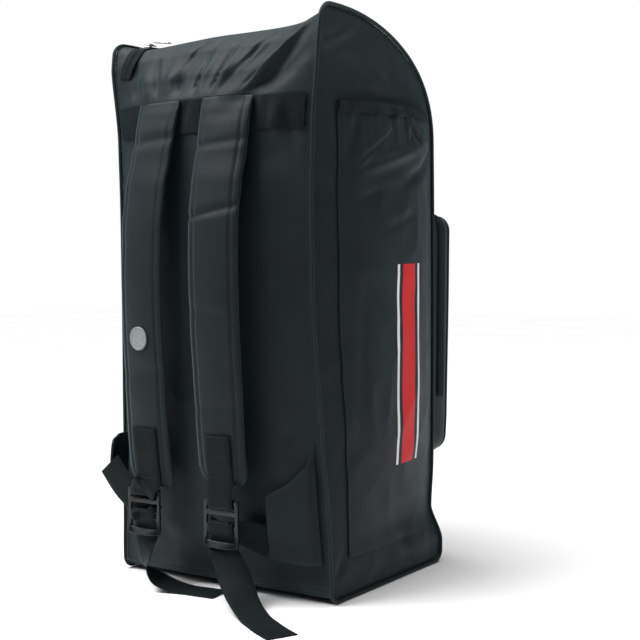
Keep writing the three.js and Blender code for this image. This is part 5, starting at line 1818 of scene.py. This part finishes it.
# Stage
def floor():
    signs = ((-1, -1), (1, -1), (1, 1), (-1, 1))
    points = [Vector((FLOOR_REACH * x, FLOOR_REACH * y, 0)) for x, y in signs]
    plane = make_object("floor", points, [(0, 1, 2, 3)], None, floor_material())


def area_light(name, at, target, size, power):
    lamp = bpy.data.lights.new(name, "AREA")
    lamp.shape = "RECTANGLE"
    lamp.size, lamp.size_y = size
    lamp.energy = power
    obj = bpy.data.objects.new(name, lamp)
    obj.location = at
    obj.rotation_euler = (Vector(target) - Vector(at)).to_track_quat("-Z", "Y").to_euler()
    bpy.context.scene.collection.objects.link(obj)


def sun_light(name, from_direction, angle, strength):
    lamp = bpy.data.lights.new(name, "SUN")
    lamp.angle = angle
    lamp.energy = strength
    obj = bpy.data.objects.new(name, lamp)
    obj.rotation_euler = (-Vector(from_direction)).to_track_quat("-Z", "Y").to_euler()
    bpy.context.scene.collection.objects.link(obj)


def lights():
    bpy.context.scene.view_settings.view_transform = "Standard"
    world = bpy.data.worlds.new("studio")
    bpy.context.scene.world = world
    world.use_nodes = True
    tree = world.node_tree
    background = tree.nodes["Background"]
    background.inputs["Color"].default_value = (1, 1, 1, 1)
    background.inputs["Strength"].default_value = AMBIENT
    backdrop = tree.nodes.new("ShaderNodeBackground")
    backdrop.inputs["Color"].default_value = (1, 1, 1, 1)
    backdrop.inputs["Strength"].default_value = 1.0
    seen = tree.nodes.new("ShaderNodeLightPath")
    blend = tree.nodes.new("ShaderNodeMixShader")
    tree.links.new(seen.outputs["Is Camera Ray"], blend.inputs[0])
    tree.links.new(background.outputs[0], blend.inputs[1])
    tree.links.new(backdrop.outputs[0], blend.inputs[2])
    tree.links.new(blend.outputs[0], tree.nodes["World Output"].inputs["Surface"])
    sun_light("overhead", SUN_FROM, SUN_ANGLE, SUN_STRENGTH)
    for name, row in LIGHTS.items():
        area_light(name, **row)


def camera():
    data = bpy.data.cameras.new("camera")
    data.sensor_width = SENSOR
    data.lens = FOCAL * SENSOR / IMAGE_SIDE
    data.clip_start = 0.05
    obj = bpy.data.objects.new("camera", data)
    level = math.cos(PITCH)
    forward = Vector((-math.sin(AZIMUTH) * level, math.cos(AZIMUTH) * level, -math.sin(PITCH)))
    right = Vector((math.cos(AZIMUTH), math.sin(AZIMUTH), 0))
    up = right.cross(forward)
    turn = Matrix((right, up, -forward)).transposed().to_4x4()
    obj.matrix_world = Matrix.Translation(EYE) @ turn @ Matrix.Rotation(ROLL, 4, "Z")
    bpy.context.scene.collection.objects.link(obj)
    bpy.context.scene.camera = obj


camera()
floor()
lights()
wrap_panels()
side_cloths()
pipings()
yoke_band()
lid_zip()
side_pocket()
pocket_elastic()
front_pocket()
for side in ("left", "right"):
    strap(side)
    strap_web(side)
    buckle(side)
    wing(side)
    adjuster_web(side)
badge()
